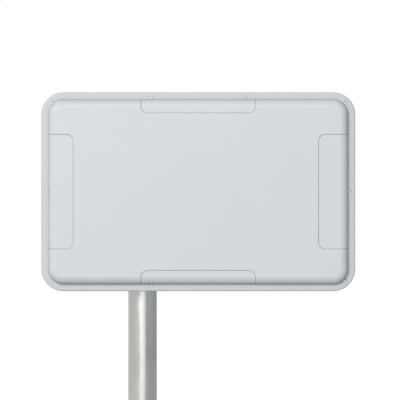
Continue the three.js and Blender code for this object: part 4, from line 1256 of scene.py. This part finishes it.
def wire(name, route):
    """A round wire along a smooth route in the panel's own frame."""
    curve = bpy.data.curves.new(name, "CURVE")
    curve.dimensions = "3D"
    curve.bevel_depth = LEAD_RADIUS * MM
    curve.bevel_resolution = 6
    curve.use_fill_caps = True
    spline = curve.splines.new("BEZIER")
    spline.bezier_points.add(len(route) - 1)
    for knot, point in zip(spline.bezier_points, route):
        knot.co = (PANEL @ Vector(point)) * MM
        knot.handle_left_type = knot.handle_right_type = "AUTO"
    shape = bpy.data.objects.new(name, curve)
    mesh = bpy.data.meshes.new_from_object(shape)
    points = [v.co / MM for v in mesh.vertices]
    faces = [tuple(p.vertices) for p in mesh.polygons]
    bpy.data.objects.remove(shape)
    return make_object(name, points, faces)


def tuning_board():
    stand_for(flat_piece("tuning_board", 3, 0.15, [hole(x, y, 1.8) for x, y in BOARD_SCREWS]), "tuning_board")


def shield_can():
    """A deep-drawn can with nine vents in its lid."""
    low, high = in_panel("shield_can")
    middle = (low + high) / 2
    vents = [hole(middle.x + 12 * i, middle.y + 10 * j, 1.4, 20) for i in (-1, 0, 1) for j in (-1, 0, 1)]
    can = flat_piece("shield_can", CAN_CORNER, 0.35, vents)
    inner = outline_of("shield_can", CAN_CORNER, CAN_WALL)
    stand_for(hollowed(can, inner, low.z - 2, high.z - CAN_WALL), "shield_can")


def terminal_block():
    """Each way has a screw's opening on top and a wire's mouth in front."""
    low, high = in_panel("terminal_block")
    middle = (low + high) / 2
    block = flat_piece("terminal_block", 0.8, 0.3)
    for side in (-1, 1):
        x = middle.x + TERMINAL_PITCH * side
        block = hollowed(block, circle(x, middle.y + 1, TERMINAL_WAY, 32), low.z + 5, high.z + 1)
        mouth = [(x + a, middle.y - 6 + b) for a, b in rounded_rectangle(TERMINAL_WAY, 3, 0.5, 3)]
        block = hollowed(block, mouth, low.z + 2, low.z + 7)
    stand_for(block, "terminal_block")


def trimmer():
    """A square base with a round rotor that a driver's slot turns."""
    node = "tuning_capacitor"
    low, high = in_panel(node)
    middle = (low + high) / 2
    base = prism(node + "_formed", [outline_of(node, 2)], low.z, low.z + TRIMMER_BASE, 0.4, PANEL)
    rotor = prism("rotor", [circle(middle.x, middle.y, 6)], low.z + 2, high.z, 0.4, PANEL)
    slot = [(middle.x + a, middle.y + b) for a, b in ((-8, -0.6), (8, -0.6), (8, 0.6), (-8, 0.6))]
    stand_for(hollowed(combine(base, rotor, "UNION"), slot, high.z - 1.5, high.z + 1, 0.1), node)


# ---- Post's cap, grommet, foot and collar ----


CAP_SKIRT_WALL = 2.5


def post_cap():
    """A moulded cap whose skirt has three sealing lips."""
    low, high = box_mm("post_cap")
    fit, seat, edge = POST_RADIUS - POST_WALL - GAP, TUBE_HIGH.z + GAP, 2.5
    skirt = fit - CAP_SKIRT_WALL
    profile = [(0, seat), (skirt, seat), (skirt, low.z), (fit - 0.6, low.z), (fit, low.z + 1.5)]
    for level in (low.z + 5, low.z + 9, low.z + 13):
        profile += [(fit - 0.5, level - 1), (fit, level), (fit - 0.5, level + 1)]
    profile += [(fit - 0.3, seat - 0.1), (POST_RADIUS - 0.3, seat), (POST_RADIUS, seat + 0.3)]
    profile += [(POST_RADIUS - edge + x, seat + 2.2 + y) for x, y in arc(0, 0, edge, 0, 70, 6)]
    stand_for(lathe("post_cap_moulded", profile + [(0, high.z)], steps=96), "post_cap")


def cable_grommet():
    """A ring whose two lips follow the post's wall inside and out."""
    profile = [(6, -5), (6.5, -5.5), (11.8, -5.5), (12.5, -5), (12.5, -3.3), (9.7, -3.3), (9.7, 0.3)]
    profile += [(12.7, 0.3), (13, 0.6), (13, 1.1), (12.3, 1.9), (11, 2.35), (7.4, 2.4), (6.4, 2.1), (6, 1.5)]
    middle = centre_mm("cable_grommet").z
    ring = lathe("cable_grommet_moulded", profile, UPRIGHT, 0.3, 72)
    for vertex in ring.data.vertices:
        x, z, lift = vertex.co / MM
        vertex.co = Vector((x, math.sqrt((POST_RADIUS + lift) ** 2 - x * x), z + middle)) * MM
    clean(ring.data)
    stand_for(ring, "cable_grommet")


def quarter_turns():
    return [Matrix.Rotation(i * math.pi / 2, 4, "Z") for i in range(4)]


PLATE_CORNER = 15
ANCHORS = [(x, y) for x in (-95, 95) for y in (-95, 95)]
ANCHOR_HOLE = 7
CABLE_HOLES = [(-14, 0), (14, 0)]
CABLE_HOLE = 8


def base_plate():
    half = (PLATE_HIGH.x - PLATE_LOW.x) / 2
    holes = [hole(*place, ANCHOR_HOLE) for place in ANCHORS]
    holes += [hole(*place, CABLE_HOLE) for place in CABLE_HOLES]
    outline = rounded_rectangle(half, half, PLATE_CORNER, 12)
    stand_for(prism("base_plate_cut", [outline, *holes], 0, PLATE_HIGH.z, 1.0), "base_plate")


GUSSET_SNIPE = 13
GUSSET_HALF = 4


def gussets():
    """Each is snipped at the corner where the post's foot weld runs."""
    low, high = box_mm("base_gusset_1")
    outline = path((low.x, low.z + GUSSET_SNIPE, 1), (low.x + GUSSET_SNIPE, low.z, 1), (high.x, low.z, 0.9),
                   (high.x, low.z + 10, 2), (low.x + 14, high.z, 3), (low.x, high.z, 0.9))
    for index, turn in enumerate(quarter_turns()):
        node = f"base_gusset_{index + 1}"
        stand_for(prism(node + "_cut", [outline], -GUSSET_HALF, GUSSET_HALF, 0.8, turn @ FORWARDS), node)


def weld_bead(name, root, along, length, faces, leg, place, seed):
    """A rippled fillet bead in the corner between two faces' directions, from root along a direction."""
    first, second = faces
    section = [(-0.02, -0.02), (1, 0), (0.86, 0.26), (0.6, 0.6), (0.26, 0.86), (0, 1)]
    rings = []
    count = round(length / 0.9)
    for step in range(count + 1):
        share = step / count
        wobble = noise.noise(Vector((seed, step * 0.35, 0)))
        ripple = 1 + 0.07 * math.sin(step * 2 * math.pi / 3.1) + 0.10 * wobble
        size = leg * ripple * min(1.0, 0.35 + 6 * min(share, 1 - share))
        centre = root + along * length * share
        rings.append([centre + first * size * a + second * size * b for a, b in section])
    return swept(name, rings, place)


def gusset_welds():
    """Beads on both sides of each gusset, along its foot and up the post."""
    low, high = box_mm("base_gusset_1")
    out, up = Vector((1, 0, 0)), Vector((0, 0, 1))
    for index, turn in enumerate(quarter_turns()):
        for side in (-1, 1):
            name = f"gusset_{index + 1}_{'left' if side > 0 else 'right'}_weld"
            foot = Vector((low.x + GUSSET_SNIPE, side * GUSSET_HALF, PLATE_HIGH.z))
            post = Vector((POST_RADIUS - 0.6, side * GUSSET_HALF, low.z + GUSSET_SNIPE + 1))
            aside, leaning = Vector((0, side, 0)), Vector((0.1, side, 0))
            for end, start, along, length, faces, leg, seed in (
                ("_foot", foot, out, high.x - foot.x - 1, (aside, up), 5, index * 9 + side),
                ("_post", post, up, high.z - post.z - 1, (leaning, out), 4.5, index * 7 + side),
            ):
                bead = weld_bead(name + end, start, along, length, faces, leg, turn, seed)
                dress(bead, "galvanised_steel", "stand")


def foot_weld():
    """The rippled bead round the post's foot."""
    low, high = box_mm("foot_weld")
    inner, leg, steps = POST_RADIUS + GAP, high.z - low.z, 240
    section = [(0, 0), (1, 0), (0.84, 0.3), (0.58, 0.58), (0.3, 0.84), (0, 1)]
    rings = []
    for step in range(steps):
        angle = 2 * math.pi * step / steps
        wobble = noise.noise(Vector((step * 0.3, 2, 0)))
        ripple = 0.94 + 0.045 * math.sin(step * 2 * math.pi / 3.0) + 0.05 * wobble
        size = leg * min(ripple, 1.0)
        ring = [(inner + size * a, low.z + size * b) for a, b in section]
        rings.append([(radius * math.cos(angle), radius * math.sin(angle), z) for radius, z in ring])
    stand_for(swept("foot_weld_bead", rings, closed=True), "foot_weld")


COLLAR_RADIUS = 41
COLLAR_SLOT = 1.5  # half of it
COLLAR_EAR = 13.5  # half its width
COLLAR_SCREW_HOLE = 3.3
COLLAR_HEAD = 6


def stop_collar():
    """A split ring with two ears that a screw draws together."""
    low, high = box_mm("stop_collar")
    outer, slot, ear, reach = COLLAR_RADIUS, COLLAR_SLOT, COLLAR_EAR, high.y
    bore = math.degrees(math.asin(slot / CLAMP_BORE))
    turn = math.degrees(math.asin(ear / outer))
    root = outer * math.cos(math.radians(turn)) + 1.5
    outside = arc(0, 0, outer, 94 + turn, 446 - turn, 60)
    inside = arc(0, 0, CLAMP_BORE, 90 - bore, bore - 270, 60)
    outline = path((-slot, reach, 1.1), (-ear, reach, 3), (-ear, root, 1.4), outside,
                   (ear, root, 1.4), (ear, reach, 3), (slot, reach, 1.1), inside)
    ring = prism("stop_collar_cast", [outline], low.z, high.z, 1.0, steps=4)
    stand_for(combine(ring, drill(COLLAR_SCREW_HOLE, 30, collar_place(0)), "DIFFERENCE"), "stop_collar")


def collar_place(x):
    """A place along the collar's screw, with z turned to the gate's x."""
    screw = centre_mm("stop_collar_screw")
    return Matrix.Translation((x, screw.y, screw.z)) @ ON_SIDE


def collar_screw():
    low, high = box_mm("stop_collar_screw")
    head = COLLAR_HEAD
    length = high.x - low.x - head
    start, stop = 0.6 - length, 18 - length
    rings = [(0, -length), (2.4, -length), *thread_rings(3, start, stop, 1.0), (3, stop + 0.2), (3, 0)]
    rings += [(4.7, 0), (5, 0.4), (5, head - 0.7), (4.4, head), (3.2, head), (2.9, head - 0.3)]
    rings += [(2.9, head - 3.4), (0, head - 4.2)]
    socket, knurl = [(head - 3.5, head - 0.25, 2.9)], (0.3, head - 0.8, 24, 0.25)
    screw = spun("socket_screw", rings, UPRIGHT, 96, (start, stop, 1.0, 0.5), socket, knurl)
    set_out(screw, ["stop_collar_screw"], [collar_place(high.x - head)])
    low, high = box_mm("stop_collar_nut")
    nut = hex_nut(COLLAR_SCREW_HOLE, 5.6, high.x - low.x, 1.0)
    set_out(nut, ["stop_collar_nut"], [collar_place(low.x)])


# ---- Light, floor and camera ----

CAMERA_BACK = 3.5  # metres from the camera to the rim's front plane
CAMERA_RIGHT = 0.0036  # metres from the panel's middle
CAMERA_DOWN = 0.0172
FIELD_WIDTH = 0.8277  # metres across the picture at the rim's front plane
SENSOR = 36  # the camera's usual sensor width
ROOM_LEFT = (0.51, 0.505, 0.485)
ROOM_RIGHT = (0.29, 0.30, 0.30)
ABOVE_LEFT = (0.42, 0.425, 0.43)
ABOVE_RIGHT = (0.13, 0.13, 0.135)
ROOM_BELOW = (0.33, 0.325, 0.285)
FLOOR_TONE = (0.80, 0.80, 0.79)
FLOOR_RADIUS = 3300
FLOOR_FADE = (1.3, 3.2)  # metres from the post at which it starts and ends


def camera():
    lens = bpy.data.cameras.new("camera")
    lens.sensor_width = SENSOR
    lens.lens = SENSOR * CAMERA_BACK / FIELD_WIDTH
    seen = bpy.data.objects.new("camera", lens)
    offset = Vector((CAMERA_RIGHT, -CAMERA_BACK, -CAMERA_DOWN))
    seen.location = PANEL.translation * MM + offset
    seen.rotation_euler = (math.pi / 2, 0, 0)
    bpy.context.scene.collection.objects.link(seen)
    bpy.context.scene.camera = seen


def soft_light(name, place, target, width, height, luminance):
    """An area light of that luminance, facing its target; all in metres."""
    lamp = bpy.data.lights.new(name, "AREA")
    lamp.shape = "RECTANGLE"
    lamp.size = width
    lamp.size_y = height
    lamp.energy = luminance * math.pi * width * height
    shining = bpy.data.objects.new(name, lamp)
    shining.location = place
    shining.rotation_euler = (Vector(target) - Vector(place)).to_track_quat("-Z", "Y").to_euler()
    shining.visible_camera = False
    bpy.context.scene.collection.objects.link(shining)


def surroundings():
    """White to the eye; as light, a grey studio that is brighter on the left and above."""
    world = bpy.data.worlds.new("studio")
    bpy.context.scene.world = world
    tree = Tree(world)
    direction = tree.add("ShaderNodeTexCoord").outputs["Generated"]
    split = tree.add("ShaderNodeSeparateXYZ", Vector=direction)
    rightwards = tree.band(split.outputs["X"], -0.7, 0.7)
    level = tree.blend(rightwards, ROOM_LEFT, ROOM_RIGHT)
    above = tree.blend(rightwards, ABOVE_LEFT, ABOVE_RIGHT)
    upwards = tree.blend(tree.band(split.outputs["Z"], 0.1, 0.5), level, above)
    whole = tree.blend(tree.band(split.outputs["Z"], -0.5, -0.15, 1.0, 0.0), upwards, ROOM_BELOW)
    seen = tree.add("ShaderNodeLightPath").outputs["Is Camera Ray"]
    tree.feed(tree.nodes["Background"], "Color", tree.blend(seen, whole, (1, 1, 1)))


def floor():
    """A pale floor that fades into the white round it, and whose light the room's lower part stands for."""
    tree = Finish("pale_floor", FLOOR_TONE, IOR=1.3)
    away = tree.add("ShaderNodeVectorMath", {"operation": "LENGTH"}, Vector=tree.place()).outputs["Value"]
    tree.feed(tree.shader, "Alpha", tree.band(away, *FLOOR_FADE, 1.0, 0.0))
    cloudy = tree.tones(tree.noise(2.5, 4), 0.98, 1.02)
    ground = make_object("floor", [(x, y, 0) for x, y in circle(0, 0, FLOOR_RADIUS, 96)], [tuple(range(96))])
    ground.data.materials.append(tree.done(cloudy, tree.uneven(30, 3, 0.85, 0.95)))
    ground.visible_diffuse = False


def lights():
    """A key light up on the left, one in front for the post's highlight, and one for the rear views."""
    middle = PANEL_CENTRE * MM
    key = (middle.x - 2.5, -8.3, middle.z + 3.4)
    soft_light("key", key, middle, width=5.4, height=3.8, luminance=8.4)
    soft_light("front", (0.25, -5.6, 0.8), (0, 0, 1.0), width=4.15, height=2.4, luminance=0.5)
    soft_light("back", (0.4, 3.6, 2.3), middle, width=2.5, height=2.0, luminance=5.0)


bpy.context.scene.view_settings.view_transform = "Standard"
camera()
surroundings()
lights()
floor()
dress_cad_nodes()
front_cover()
rear_tray()
seal_gasket()
cable_gland()
vent()
antenna_carrier()
antenna_loop()
feed_leads()
tuning_board()
shield_can()
terminal_block()
trimmer()
hat_bracket()
clamps()
post_tube()
post_cap()
cable_grommet()
base_plate()
gussets()
gusset_welds()
foot_weld()
stop_collar()
collar_screw()
fasteners()
